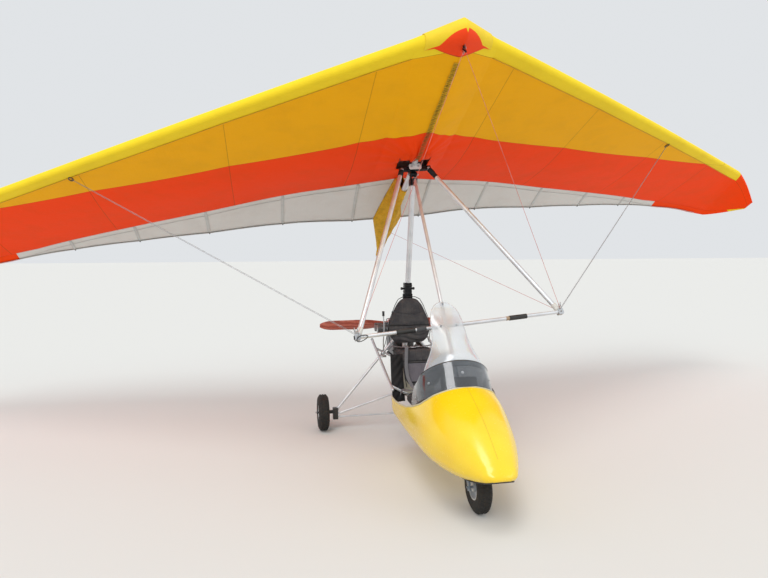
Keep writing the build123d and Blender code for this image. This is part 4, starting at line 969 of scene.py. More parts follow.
def nose_cap():
    """The cap over the nose: the sail's own section moved out, from its rear edge on top, round the leading
    edge and back to its rear edge underneath. The rear edge curves forward away from the middle."""
    across = np.linspace(-CONE_HALF, CONE_HALF, 61)[:, None]
    x = np.abs(across)
    c = Chords(x)
    bow = -CONE_BOW * (x / CONE_HALF) ** 1.6
    reach = np.maximum(c.along(NOSE_Y + CONE_DEEP + bow), 0.020)
    touch, r = c.touch(), c.r + CONE_OUT
    u_top = reach + (r * np.cos(touch) - reach) * np.linspace(0, 1, 12)[None]
    w_top = c.height - c.front_r + np.sqrt((c.front_r + CONE_OUT) ** 2 - (u_top - c.crest) ** 2)
    turn = touch + (1.5 * pi - touch) * np.linspace(0, 1, 17)[None, 1:]
    u_low = reach * np.linspace(0, 1, 14)[None, 1:]
    w_low = c.under(u_low) - CONE_OUT - under_swell(x, u_low, c)
    points = c.at(np.concatenate([u_top, r * np.cos(turn), u_low], 1),
                  np.concatenate([w_top, r * np.sin(turn), w_low], 1))
    points[..., 0] = across
    share = np.concatenate([0 * u_top, (turn - touch) / (1.5 * pi - touch), 1 + u_low / reach], 1)
    plan = np.stack(np.broadcast_arrays(x, points[..., 1], share), -1)
    data = Shape().grid(in_row(points)[::-1]).mesh("nose_cap")
    mark_cut(data, plan[::-1])
    obj = piece("nose_cap", data, CONE_CLOTH, "wing", replaces=("nose_cone",), thick=0.0012)
    stretched(obj, (0.62, 0.62), "sail_left_cloth", "sail_right_cloth")


SOCK_ENDS = (0.36, 1.87)
SOCK_HALF = 0.155                # half the pocket's width at the trailing edge
SOCK_GAP = 0.004                 # between the keel tube and the pocket


def keel_sock():
    """The pocket round the rear of the wing's keel, sewn to the sail along two lines that part towards the
    trailing edge. At each y its section runs down one side from the sail, round below the keel, up the other
    side and back across under the sail. Behind the trailing edge it closes on the keel's end."""
    front, rear = SOCK_ENDS
    y = np.linspace(front, rear, 90)[:, None]
    tail = np.clip((y - TE_ROOT_Y) / (rear - TE_ROOT_Y), 0, 1)
    parted = SOCK_HALF * np.clip((y - front) / (TE_ROOT_Y - front), 0, 1)
    half = SOCK_GAP + parted * (1 - tail)
    sewn_y = np.minimum(y, TE_ROOT_Y - 0.012)[:, 0]
    top = under_top(parted[:, 0], sewn_y, 0.006)[:, 2:3]
    lower = on_under(parted[:, 0], sewn_y)[:, 2:3] + 0.001
    top = np.where(y < under_rear(parted), np.minimum(top, lower), top)
    top = top * (1 - tail) + (KEEL_R + KEEL_GAP) * tail
    r = KEEL_R + SOCK_GAP
    turn = np.linspace(0, pi, 19)[None]
    crease = 0.0018 * np.sin(2 * pi * y / 0.09 + 3 * np.cos(turn)) + 0.0010 * np.sin(2 * pi * y / 0.023)
    t = np.linspace(0, 1, 16)[None, :-1]
    pull = 0.005 * np.sin(2 * pi * (y / 0.21 + t * 0.9)) * np.sin(pi * t)
    side_x = half + (r - half) * t + (0.012 * np.sin(pi * t ** 0.8) + pull) * (1 - 0.6 * tail)
    side_z = top * (1 - t)
    s = np.linspace(-1, 1, 11)[None, 1:-1]
    x = np.concatenate([side_x, (r + crease) * np.cos(turn), -side_x[:, ::-1], half * s], 1)
    belly = -(r + crease) * np.sin(turn)
    z = np.concatenate([side_z, belly, side_z[:, ::-1], top - 0.10 * half * (1 - s ** 2)], 1)
    points = np.stack(np.broadcast_arrays(x, y, z), -1)
    data = Shape().grid(in_row(points), close_v=True).mesh("keel_sock")
    obj = piece("keel_sock", data, SOCK_CLOTH, "wing", replaces=("keel_pocket",), thick=0.001)
    stretched(obj, (rear - front + 0.01, 0.80), "wing_keel")


def wing_pieces():
    sail_half("sail_left_cloth", 1, "sail_left")
    sail_half("sail_right_cloth", -1, "sail_right")
    batten_pockets()
    seam_tapes()
    keel_zip()
    nose_cap()
    keel_sock()


# Pod and screens

# each row: y, half width, bottom, height of the widest place, top
POD_SECTIONS = np.array([
    (-2.3162, 0.052, 0.354, 0.366, 0.384),
    (-2.290, 0.092, 0.340, 0.362, 0.412),
    (-2.240, 0.124, 0.322, 0.358, 0.452),
    (-2.160, 0.162, 0.300, 0.358, 0.512),
    (-2.040, 0.208, 0.275, 0.364, 0.594),
    (-1.890, 0.250, 0.255, 0.374, 0.672),
    (-1.690, 0.290, 0.243, 0.390, 0.757),
    (-1.400, 0.306, 0.240, 0.400, 0.800),
    (-1.050, 0.310, 0.240, 0.405, 0.800),
    (-0.720, 0.304, 0.240, 0.405, 0.780)])
POD_RIM_Y = [-1.698, -1.685, -1.655, -1.600, -1.523, -1.400, -1.250, -1.060, -0.880, -0.720]
POD_RIM_Z = [0.754, 0.737, 0.708, 0.662, 0.610, 0.563, 0.522, 0.490, 0.470, 0.468]
WHEEL_WELL = (-2.112, -1.690, 0.138, 0.312)    # front and back y, half width and top of the wheel's opening
POD_WALL = 0.004
POD_ENDS = (POD_SECTIONS[0, 0], POD_SECTIONS[-1, 0])


def arc_through(a, b, c, t):
    """Points at shares t of the circle arc from a through b to c, for arrays of points (n, 2)."""
    a, b, c = (np.asarray(p, float)[:, None] for p in (a, b, c))
    ab, ac = b - a, c - a
    cross = 2 * (ab[..., 0] * ac[..., 1] - ab[..., 1] * ac[..., 0])
    ab2, ac2 = (ab ** 2).sum(-1), (ac ** 2).sum(-1)
    centre = a + np.stack([(ac[..., 1] * ab2 - ab[..., 1] * ac2) / cross,
                           (ab[..., 0] * ac2 - ac[..., 0] * ab2) / cross], -1)
    start = np.arctan2(*(a - centre)[..., ::-1].transpose(2, 0, 1))
    end = np.arctan2(*(c - centre)[..., ::-1].transpose(2, 0, 1))
    swing = (end - start + pi) % (2 * pi) - pi
    radius = np.linalg.norm(a - centre, axis=-1)
    angle = start + swing * t
    return centre + radius[..., None] * np.stack([np.cos(angle), np.sin(angle)], -1)


def pod_half_section(y, wall=0.0):
    """Half of the pod's section at each y, from the middle of the floor round to the middle of the top."""
    half, bottom, wide, top = (curve_through(POD_SECTIONS[:, 0], POD_SECTIONS[:, k], y) for k in range(1, 5))
    half, bottom, top = half - wall, bottom + wall, top - wall
    flat = 0.62 * half
    floor = np.stack([flat, bottom], -1)
    chine = np.stack([0.90 * half, bottom + 0.36 * (wide - bottom)], -1)
    side = np.stack([half, wide], -1)
    shoulder = np.stack([0.70 * half, bottom + 0.86 * (top - bottom)], -1)
    mid_side = np.stack([0.955 * half, wide + 0.55 * (shoulder[:, 1] - wide)], -1)
    crown = np.stack([0 * half, top], -1)
    t = np.linspace(0, 1, 9)[None]
    parts = [np.stack(np.broadcast_arrays(flat[:, None] * t, bottom[:, None]), -1),
             arc_through(floor, chine, side, np.linspace(0, 1, 13)[None])[:, 1:],
             arc_through(side, mid_side, shoulder, np.linspace(0, 1, 25)[None])[:, 1:],
             arc_through(shoulder, crown, shoulder * [-1, 1], np.linspace(0, 0.5, 17)[None])[:, 1:]]
    return np.concatenate(parts, 1)


def pod_rows(y, count, wall=0.0):
    """The half section at each y again, cut off where it meets the cockpit's rim and spread evenly."""
    rim = np.where(y < POD_RIM_Y[0], np.inf, np.interp(y, POD_RIM_Y, POD_RIM_Z))
    rows = []
    for points, rim_z in zip(pod_half_section(y, wall), rim):
        length, z = reach_along(points), points[:, 1]
        reach = length[-1]
        if rim_z < z[-1]:
            i = int(np.argmax(z > rim_z))
            share = (rim_z - z[i - 1]) / (z[i] - z[i - 1])
            reach = length[i - 1] + share * (length[i] - length[i - 1])
        s = np.linspace(0, reach, count)
        rows.append(np.stack([np.interp(s, length, points[:, 0]), np.interp(s, length, z)], -1))
    return np.array(rows)


def both_sides(half, y):
    """Half sections (x, z) at each y, mirrored and joined into points of the trike, right side first."""
    both = np.concatenate([half[:, :0:-1] * [-1, 1], half], 1)
    return spot(both[..., 0], y[:, None], both[..., 1])


def pod_shell():
    """The moulded shell, one skin with a wall, open over the cockpit, at the back and round the wheel."""
    front, back, half_well, well_top = WHEEL_WELL
    start, end = POD_ENDS
    y = np.unique(np.concatenate([np.linspace(start, -2.20, 16), np.linspace(-2.20, -1.72, 34),
                                  np.linspace(-1.72, -1.62, 18), np.linspace(-1.62, end, 50), [front, back]]))
    half = pod_rows(y, 64)
    x, z = half[..., 0], half[..., 1]
    in_well = (y[:, None] >= front - 1e-6) & (y[:, None] <= back + 1e-6) & (z < well_top)
    x[in_well & (np.abs(x - half_well) < 0.006)] = half_well
    points = both_sides(half, y)
    n, m = points.shape[:2]
    index = np.arange(n * m).reshape(n, m)
    faces = faces_over(index)[:, [0, 3, 2, 1]]
    flat = points.reshape(-1, 3)
    mid_x, mid_y, mid_z = (flat[faces].mean(1) - spot(0, 0, 0)).T
    open_well = (mid_y > front) & (mid_y < back) & (np.abs(mid_x) < half_well) & (mid_z < well_top)
    tip = flat[index[0]].mean(0) + [0, -0.004, 0]
    fan = [(int(a), n * m, int(b)) for a, b in zip(index[0][:-1], index[0][1:])]
    data = Shape().add(np.concatenate([flat, [tip]]), [faces[~open_well], fan]).mesh("pod_shell")
    face_outwards(data, WELD)
    piece("pod_shell", data, POD_YELLOW, "trike", replaces=("pod",), thick=POD_WALL)


def face_outwards(data, weld=0.0):
    """Turns all faces outwards, after merging points that lie closer together than weld."""
    mesh = bmesh.new()
    mesh.from_mesh(data)
    if weld:
        bmesh.ops.remove_doubles(mesh, verts=mesh.verts, dist=weld)
    bmesh.ops.recalc_face_normals(mesh, faces=mesh.faces)
    mesh.to_mesh(data)
    mesh.free()
    data.update()


def rim_path(out=0.0):
    """The cockpit's edge on the left side, from the front of the cockpit back to the pod's rear."""
    y = np.linspace(POD_RIM_Y[0] + 0.004, POD_ENDS[1] - 0.002, 70)
    rows = pod_rows(y, 64)
    return spot(rows[:, -1, 0], y, rows[:, -1, 1] + out)


def pod_trim():
    """Rubber edging clipped on the cockpit's rim and round the opening for the wheel."""
    path = rim_path(0.001)
    path = np.concatenate([path[::-1], signed(path, -1)])
    keep = np.concatenate([[True], np.linalg.norm(np.diff(path, axis=0), axis=1) > 0.002])
    edging = Shape().sweep(path[keep], ring(0.0055, 10), (0, 0, 1))
    piece("cockpit_edging", edging, CREAM_RUBBER, "trike")
    front, back, half, _ = WHEEL_WELL
    dark_strip = Shape()
    y = np.linspace(front, back, 40)
    z = np.array([np.interp(half, row[:22, 0], row[:22, 1]) for row in pod_half_section(y)])
    for side in (-1, 1):
        dark_strip.sweep(spot(side * half, y, z), ring(0.005, 8))
    for end_y, end_z in ((front, z[0]), (back, z[-1])):
        dark_strip.rod(spot(-half, end_y, end_z), spot(half, end_y, end_z), 0.005, 8)
    piece("wheel_opening_edging", dark_strip, BLACK_RUBBER, "trike")


# each row: middle y, z, direction of the sag y, z, half width, sag, leg
LOWER_SCREEN = np.array([
    (-1.685, 0.722, 0.415, -0.222, 0.276, 0.276, 0.190),
    (-1.622, 0.812, 0.322, -0.157, 0.268, 0.255, 0.103),
    (-1.556, 0.910, 0.124, -0.116, 0.245, 0.160, 0.010)])
UPPER_SCREEN = np.array([
    (-1.568, 0.872, 0.82, -0.57, 0.232, 0.184, 0),
    (-1.528, 0.931, 0.80, -0.60, 0.208, 0.136, 0),
    (-1.458, 0.990, 0.77, -0.64, 0.166, 0.088, 0),
    (-1.390, 1.048, 0.73, -0.69, 0.138, 0.061, 0),
    (-1.322, 1.106, 0.69, -0.72, 0.127, 0.041, 0),
    (-1.256, 1.161, 0.66, -0.75, 0.121, 0.021, 0),
    (-1.196, 1.212, 0.64, -0.77, 0.104, 0.006, 0),
    (-1.161, 1.244, 0.63, -0.78, 0.080, 0.002, 0),
    (-1.143, 1.265, 0.62, -0.78, 0.052, 0.0015, 0),
    (-1.134, 1.277, 0.62, -0.78, 0.024, 0.001, 0)])


def screen_grid(rows, count, across):
    """A bent sheet: each row is a circle arc that hangs back from its middle along its lean, with straight
    legs that run on from its ends. Rows between the given ones lie on smooth curves through them."""
    knots = np.linspace(0, 1, len(rows))
    t = np.linspace(0, 1, count)
    y, z, dy, dz, half, sag, leg = (curve_through(knots, rows[:, k], t)[:, None] for k in range(7))
    size = np.hypot(dy, dz)
    radius = (half ** 2 + sag ** 2) / (2 * sag)
    a = np.linspace(-1, 1, across)[None] * 2 * np.arctan(sag / half)
    x, depth = radius * np.sin(a), radius * (1 - np.cos(a))
    if leg.max() > 0.001:
        on = np.linspace(1, 0, 12)[None, :-1] * leg
        x = np.concatenate([x[:, :1] + 0 * on, x, x[:, -1:] + 0 * on], 1)
        depth = np.concatenate([depth[:, :1] + on, depth, depth[:, -1:] + on[:, ::-1]], 1)
    return spot(x, y + dy / size * depth, z + dz / size * depth)


# where the screws are: x, y, z, and the way out of the clear screen
CLEAR_SCREWS = ((0.0, -1.136, 1.262), (0.062, -1.30, 1.115), (-0.062, -1.30, 1.115))
CLEAR_OUT = np.array([0, -0.78, 0.62])
SMOKED_SCREWS = ((0.0, -1.60, 0.83), (0.19, -1.52, 0.74), (-0.19, -1.52, 0.74), (0.262, -1.40, 0.62),
                 (-0.262, -1.40, 0.62), (-0.276, -1.30, 0.57), (0.276, -1.30, 0.57))
COCKPIT_MIDDLE = (0, -1.38, 0.70)


def screens():
    """The smoked lower screen and the clear upper one, with their edges and screws."""
    lower, upper = screen_grid(LOWER_SCREEN, 40, 61), screen_grid(UPPER_SCREEN, 70, 41)
    piece("smoked_screen_sheet", Shape().grid(lower), SMOKED, "trike",
          replaces=("lower_screen",), thick=0.003)
    piece("clear_screen_sheet", Shape().grid(upper), CLEAR, "trike",
          replaces=("upper_screen",), thick=0.003)
    edge = Shape().sweep(lower[-1] + [0, 0, 0.0005], ring(0.0032, 8), (0, 0, 1))
    piece("smoked_screen_edge", edge, BLACK_RUBBER, "trike")
    outline = np.concatenate([upper[1:, 0], upper[-1, 1:], upper[::-1, -1][1:]])
    edge = Shape().sweep(outline + [0, 0.0015, 0.001], ring(0.0021, 6), (0, 1, 0))
    piece("clear_screen_edge", edge, POLISHED_EDGE, "trike")
    screws = Shape()
    for place in CLEAR_SCREWS:
        at = nearest(upper, spot(*place))
        screws.rod(at - CLEAR_OUT * 0.002, at + CLEAR_OUT * 0.006, 0.009, 14)
        screws.rod(at + CLEAR_OUT * 0.004, at + CLEAR_OUT * 0.011, 0.005, 6)
    for place in SMOKED_SCREWS:
        at = nearest(lower, spot(*place))
        out = unit(at - spot(*COCKPIT_MIDDLE))
        screws.rod(at - out * 0.003, at + out * 0.004, 0.010, 14)
        screws.rod(at + out * 0.003, at + out * 0.009, 0.0055, 6)
    piece("screen_screws", screws, STEEL, "trike", smooth=False)


def nearest(grid, place):
    """The point of a grid nearest to a place."""
    flat = grid.reshape(-1, 3)
    return flat[np.argmin(((flat - place) ** 2).sum(-1))]


# Seats

VOXEL = 0.006
AIR_PRESSURE = 4.0
WELD = 0.0004                    # points closer together than this are merged
AIR_FRAMES = 20

# each pad: front face's line from low to high (y, z), thickness, and outline of (half width, share of height)
FRONT_BACK = ((-0.628, 0.506), (-0.505, 0.838), 0.048, [(0.165, 0), (0.185, 0.45), (0.190, 0.85), (0.172, 1)])
REAR_BACK = ((-0.112, 0.792), (-0.092, 1.250), 0.058,
             [(0.200, 0), (0.222, 0.30), (0.205, 0.52), (0.150, 0.82), (0.118, 0.95), (0.085, 1)])
FRONT_SEAT = ((-1.130, 0.500), (-0.640, 0.500), 0.092, [(0.196, 0), (0.208, 0.2), (0.208, 0.8), (0.200, 1)])
REAR_SEAT = ((-0.452, 0.786), (-0.112, 0.786), 0.090, [(0.198, 0), (0.203, 0.2), (0.203, 0.8), (0.198, 1)])


class Pad:
    """A pad's own frame: x across, s up its front face from the low end and n out of the front face."""

    def __init__(self, low, high, thick, outline):
        self.origin = spot(0, *low)
        run = spot(0, *high) - self.origin
        self.run = float(np.linalg.norm(run))
        self.up = run / self.run
        self.out = np.cross((1.0, 0, 0), self.up)
        if self.out[2] < -0.5:
            self.out = -self.out
        self.thick = thick
        self.widths, self.shares = np.array(outline).T

    def half_width(self, s):
        return np.interp(s / self.run, self.shares, self.widths)

    def world(self, x, s, n):
        x, s, n = (a[..., None] for a in np.broadcast_arrays(x, s, n))
        return self.origin + x * [1.0, 0, 0] + s * self.up + n * self.out

    def local(self, points):
        away = points - self.origin
        return np.stack([away[:, 0], away @ self.up, away @ self.out], -1)

    def box(self, half):
        """Limits of (x, s, n) that keep the pad within its own run and thickness."""
        return [(-half, half), (0.0, self.run), (-self.thick, 0.0)]


def power(value, exponent):
    """A power that keeps the sign of its base."""
    return np.sign(value) * np.abs(value) ** exponent


def pad_blank(pad, inset):
    """A closed pillow: half the run times sine to a low power of the latitude up the pad, the outline's width
    times cosine to a low power across it, and half the thickness times sine of the angle round it."""
    latitude = np.linspace(-pi / 2, pi / 2, 61)[:, None]
    around = turns(96)[None]
    s = pad.run / 2 + (pad.run / 2 - inset) * power(np.sin(latitude), 0.55)
    shrink = np.cos(latitude).clip(0.0) ** 0.42
    x = (pad.half_width(s) - inset) * power(np.cos(around), 0.40) * shrink
    deep = (pad.thick / 2 - inset) * power(np.sin(around), 0.62) * np.minimum(shrink * 1.04, 1)
    return Shape().grid(pad.world(x, s, deep - pad.thick / 2), close_v=True).mesh("pad")


def vertex_values(data, key):
    """The places (co) or the normals (normal) of a mesh's points."""
    flat = np.empty(len(data.vertices) * 3)
    data.vertices.foreach_get(key, flat)
    return flat.reshape(-1, 3)


def set_coordinates(data, points):
    data.vertices.foreach_set("co", np.asarray(points, float).ravel())
    data.update()


def apply_modifiers(obj):
    """Turns what the modifiers show into the object's own mesh."""
    graph = bpy.context.evaluated_depsgraph_get()
    data = bpy.data.meshes.new_from_object(obj.evaluated_get(graph))
    obj.modifiers.clear()
    obj.data = data


def stuffed(pad, inset, cap):
    """The blank, remeshed evenly and blown up by cloth simulation, each point moving no further than cap."""
    data = pad_blank(pad, inset)
    face_outwards(data, WELD)
    obj = bpy.data.objects.new("stuffing", data)
    bpy.context.scene.collection.objects.link(obj)
    remesh = obj.modifiers.new("even", "REMESH")
    remesh.mode = "VOXEL"
    remesh.voxel_size = VOXEL
    apply_modifiers(obj)
    blow_up(obj, cap)
    finer = obj.modifiers.new("finer", "SUBSURF")
    finer.levels = finer.render_levels = 1
    apply_modifiers(obj)
    data = obj.data
    bpy.data.objects.remove(obj)
    return data


def blow_up(obj, cap):
    """Air pressure from inside for some frames, and then each point's move cut down to cap."""
    before = vertex_values(obj.data, "co")
    cloth = obj.modifiers.new("air", "CLOTH")
    cloth.settings.use_pressure = True
    cloth.settings.uniform_pressure_force = AIR_PRESSURE
    cloth.settings.effector_weights.gravity = 0
    cloth.point_cache.frame_start = 1
    cloth.point_cache.frame_end = AIR_FRAMES
    for number in range(1, AIR_FRAMES + 1):
        bpy.context.scene.frame_set(number)
    graph = bpy.context.evaluated_depsgraph_get()
    move = vertex_values(obj.evaluated_get(graph).data, "co") - before
    obj.modifiers.clear()
    bpy.context.scene.frame_set(1)
    far = np.linalg.norm(move, axis=1, keepdims=True)
    set_coordinates(obj.data, before + move * np.minimum(1, cap / np.maximum(far, 1e-9)))


def press(data, pad, depth_at, box):
    """Pushes the pad's front in by a depth that is a function of (x, s), and keeps it within a box."""
    local = pad.local(vertex_values(data, "co"))
    front = smooth_step((local[:, 2] + pad.thick * 0.55) / (pad.thick * 0.35))
    local[:, 2] -= depth_at(local[:, 0], local[:, 1]) * front
    local = np.clip(local, *np.array(box).T)
    set_coordinates(data, pad.world(*local.T))
    return local


def groove(distance, depth, half):
    """A sewn channel: depth times a bell curve of the distance from the seam."""
    return depth * np.exp(-(distance / half) ** 2)


def on_front(data, pad, x, s, out):
    """Points on the pad's front: for each (x, s) the mean of the four nearest front points, moved out."""
    facing = vertex_values(data, "normal") @ pad.out > 0.3
    local = pad.local(vertex_values(data, "co")[facing])
    near = ((local[None, :, :2] - np.stack([x, s], -1)[:, None]) ** 2).sum(-1).argsort(1)[:, :4]
    return pad.world(x, s, local[near][..., 2].mean(1) + out)


def even_line(corners, step=0.008):
    """Points at even steps along straight runs between corners (x, s)."""
    corners = np.asarray(corners, float)
    reach = reach_along(corners)
    t = np.linspace(0, reach[-1], max(int(reach[-1] / step), 3))
    return np.interp(t, reach, corners[:, 0]), np.interp(t, reach, corners[:, 1])


def welts(name, data, pad, lines):
    """Welt piping sewn along lines on a pad's front."""
    shape = Shape()
    for corners in lines:
        x, s = even_line(corners)
        shape.sweep(on_front(data, pad, x, s, 0.0010), ring(0.0032, 8), pad.out)
    piece(name, shape, PIPING, "trike")


def mark(data, values):
    """Stores how much of the paler panel cloth each point shows."""
    data.attributes.new("panel", "FLOAT", "POINT").data.foreach_set("value", np.asarray(values, np.float32))


def cushion(name, data, replaced):
    piece(name, data, SEAT, "trike", replaces=(replaced,))


# the welt up one side of the rear backrest: x, and s as a share of the run
REAR_WELT = ((0.206, 0.30), (0.190, 0.52), (0.136, 0.82), (0.104, 0.94), (0.060, 0.985))
REAR_FOLD = 0.40                 # a sewn fold crosses the rear backrest at this share of its run


def rear_backrest():
    """The tall backrest with a narrow top: slack cloth in cross folds over its lower half."""
    pad = Pad(*REAR_BACK)
    data = stuffed(pad, 0.010, 0.009)
    run = pad.run

    def depth(x, s):
        slack = smooth_step((0.62 - s / run) / 0.35)
        wave = np.sin(2 * pi * (s / 0.052 + 0.35 * np.sin(x * 17) + 0.25 * np.sin(x * 7 + 1)))
        top_fold = groove(s - 0.62 * run - 0.05 * (x / 0.2) ** 2, 0.006, 0.010)
        return 0.0042 * wave * slack + top_fold + groove(s - REAR_FOLD * run, 0.008, 0.007)

    press(data, pad, depth, pad.box(0.222))
    mark(data, np.zeros(len(data.vertices)))
    cushion("rear_backrest_pad", data, "rear_backrest")
    side = [(0.186, 0.02)] + [(x, share * run) for x, share in REAR_WELT]
    outline = side + [(-x, s) for x, s in reversed(side)]
    welts("rear_backrest_welts", data, pad, [outline, [(-0.196, REAR_FOLD * run), (0.196, REAR_FOLD * run)]])


BAND_S = 0.232                   # lower edge of the front backrest's ribbed band
RIB_PITCH = 0.055
PANEL_S = (0.052, 0.215)         # the paler panel's lower and upper edge, and its half width there
PANEL_HALF = (0.112, 0.148)
PANEL = [(-PANEL_HALF[1], PANEL_S[1]), (PANEL_HALF[1], PANEL_S[1]),
         (PANEL_HALF[0], PANEL_S[0]), (-PANEL_HALF[0], PANEL_S[0])]
FRONT_WELT = [(0.150, 0.012), (0.166, 0.150), (0.170, 0.300)]


def front_backrest():
    """The front backrest: a ribbed band at the top over a paler panel that narrows downwards."""
    pad = Pad(*FRONT_BACK)
    data = stuffed(pad, 0.008, 0.008)

    def depth(x, s):
        rib = (x + RIB_PITCH / 2) % RIB_PITCH - RIB_PITCH / 2
        ribs = groove(rib, 0.004, 0.004) * smooth_step((s - BAND_S) / 0.01)
        rim = groove(np.abs(x) - np.interp(s, PANEL_S, PANEL_HALF) - 0.010, 0.006, 0.008)
        low = groove(s - 0.044, 0.006, 0.006) * (np.abs(x) < 0.13)
        return ribs + groove(s - BAND_S, 0.007, 0.006) + rim * smooth_step((BAND_S - s) / 0.01) + low

    x, s, n = press(data, pad, depth, pad.box(0.190)).T
    in_panel = (np.abs(x) < np.interp(s, PANEL_S, PANEL_HALF)) & (s > PANEL_S[0]) & (s < PANEL_S[1])
    mark(data, in_panel & (n > -0.6 * pad.thick))
    cushion("front_backrest_pad", data, "front_backrest")
    right_welt = [(-x, s) for x, s in FRONT_WELT]
    band_welt = [(-0.172, BAND_S), (0.172, BAND_S)]
    welts("front_backrest_welts", data, pad, [PANEL + PANEL[:1], band_welt, right_welt, FRONT_WELT])


CHANNELS_HALF = 0.15             # the sewn channels lie within this x
CUSHION_EDGE = 0.030


def seat_cushions():
    """Both seat cushions: channels sewn from front to back, and a welt round the top."""
    for name, replaced, values, count in (("front_cushion_pad", "front_cushion", FRONT_SEAT, 7),
                                          ("rear_cushion_pad", "rear_cushion", REAR_SEAT, 5)):
        pad = Pad(*values)
        data = stuffed(pad, 0.010, 0.009)
        pitch = 2 * CHANNELS_HALF / count

        def depth(x, s):
            channel = groove((x + CHANNELS_HALF) % pitch - pitch / 2, 0.006, 0.006)
            channel = channel * (np.abs(x) < CHANNELS_HALF) * smooth_step(s / 0.03)
            return channel + groove(np.abs(x) - CHANNELS_HALF - 0.01, 0.006, 0.006)

        press(data, pad, depth, pad.box(0.208))
        mark(data, np.zeros(len(data.vertices)))
        cushion(name, data, replaced)
        low, high = CUSHION_EDGE, pad.run - CUSHION_EDGE
        corners = [(-0.178, low), (0.178, low), (0.182, high), (-0.182, high), (-0.178, low)]
        welts(name + "_welt", data, pad, [corners])


ACROSS = (1, 0, 0)
LENGTHWAYS = (0, 1, 0)
# each strap: width, the way across it, and the places that it runs through
STRAPS = [
    (0.030, ACROSS, [(-0.130, -0.470, 0.846), (-0.132, -0.515, 0.848), (-0.140, -0.548, 0.785),
                     (-0.150, -0.592, 0.680), (-0.142, -0.640, 0.585), (-0.120, -0.690, 0.532),
                     (-0.098, -0.745, 0.512)]),
    (0.040, LENGTHWAYS, [(-0.222, -0.660, 0.470), (-0.205, -0.690, 0.508), (-0.160, -0.730, 0.514),
                         (-0.100, -0.765, 0.513)]),
    (0.040, LENGTHWAYS, [(0.222, -0.660, 0.470), (0.206, -0.690, 0.508), (0.150, -0.740, 0.514),
                         (0.070, -0.800, 0.514), (0.020, -0.840, 0.513)]),
    (0.040, LENGTHWAYS, [(-0.212, -0.150, 0.770), (-0.190, -0.190, 0.793), (-0.120, -0.250, 0.799),
                         (-0.030, -0.300, 0.799)]),
    (0.040, LENGTHWAYS, [(0.212, -0.150, 0.770), (0.190, -0.190, 0.793), (0.120, -0.240, 0.799),
                         (0.030, -0.270, 0.799)])]
# each buckle: its middle and the way its strap runs
BUCKLES = [((-0.090, -0.762, 0.518), (0.9, -0.35, 0)), ((0.020, -0.845, 0.519), (0.8, -0.6, 0)),
           ((-0.020, -0.303, 0.804), (0.9, -0.4, 0)), ((0.022, -0.274, 0.804), (0.9, 0.4, 0))]


def seat_belts():
    """Lap belts for both seats, a shoulder strap over the front backrest's right side, and their buckles."""
    webbing, metal = Shape(), Shape()
    for width, side, places in STRAPS:
        path = smooth_path([spot(*place) for place in places], 50)
        webbing.sweep(path, slab_profile(width, 0.0022), side)
    piece("seat_belts", webbing, WEBBING, "trike")
    for middle, along in BUCKLES:
        along = unit(along)
        path = spot(*middle) + along * np.linspace(-0.026, 0.026, 7)[:, None]
        across = np.cross((0, 0, 1.0), along)
        metal.sweep(path, slab_profile(0.052, 0.010), across, [0.8, 0.96, 1, 1, 1, 0.96, 0.8])
    piece("belt_buckles", metal, STEEL, "trike")


def seats():
    rear_backrest()
    front_backrest()
    seat_cushions()
    seat_belts()


# Wheels

REAR_WHEEL = (0.8135, 0.0, 0.168)
FRONT_WHEEL = (0.0, -1.917, 0.165)
RIM_SEAT = 0.076
LUG_DEEP = 0.0055
LUGS_ROUND = 34
LUG_ROW = 0.52                   # width of a row of lugs, as a share of the tyre's half width
TREAD_HALF = 0.78                # half the tread's width, likewise
# each wheel: body, tyre piece, CAD node, centre, sides that show nuts, radius, half width, rim's half width
WHEELS = [
    ("front_wheel", "front_tyre_rubber", "front_tyre", FRONT_WHEEL, (-1, 1), 0.165, 0.046, 0.037),
    ("rear_wheel_left", "left_tyre_rubber", "rear_left_tyre", REAR_WHEEL, (1,), 0.168, 0.050, 0.041),
    ("rear_wheel_right", "right_tyre_rubber", "rear_right_tyre", signed(REAR_WHEEL, -1), (-1,),
     0.168, 0.050, 0.041)]


def tyre_grid(centre, outer, half, rim_half):
    """A tyre: its section is a closed curve whose width is half times cosine to a low power of the angle and
    whose height is a share of sine to a power, from one bead over the tread to the other. Staggered blocks
    stand up from the tread, three to a row, each a product of two clipped waves."""
    middle = RIM_SEAT + 0.42 * (outer - RIM_SEAT)
    start = -0.955
    angle = np.linspace(start, pi - start, 73)
    x = half * power(np.cos(angle), 0.62)
    up, down = outer - middle, (middle - RIM_SEAT) / abs(np.sin(start)) ** 0.75
    r = middle + np.where(np.sin(angle) > 0, up, down) * power(np.sin(angle), 0.75)
    x[0], x[-1] = rim_half - 0.005, -rim_half + 0.005
    around = np.linspace(0, 1, 360, endpoint=False)[:, None]
    across = x[None] / half
    place_across = (across + TREAD_HALF) / LUG_ROW
    row = np.floor(place_across)
    place_round = (around * LUGS_ROUND + 0.5 * (row % 2)) % 1
    block = (np.clip((0.36 - np.abs(place_across - row - 0.5)) / 0.07, 0, 1)
             * np.clip((0.33 - np.abs(place_round - 0.5)) / 0.08, 0, 1))
    fade = smooth_step((np.sin(angle)[None] - 0.30) / 0.15)
    ridge = 0.0012 * np.exp(-((r - middle - 0.3 * up) / 0.002) ** 2)[None]
    radius = r[None] - LUG_DEEP * fade * (1 - block * fade * (np.abs(across) < TREAD_HALF)) + ridge
    turn = around * 2 * pi
    return np.stack(np.broadcast_arrays(x[None], radius * np.cos(turn), radius * np.sin(turn)), -1) + centre


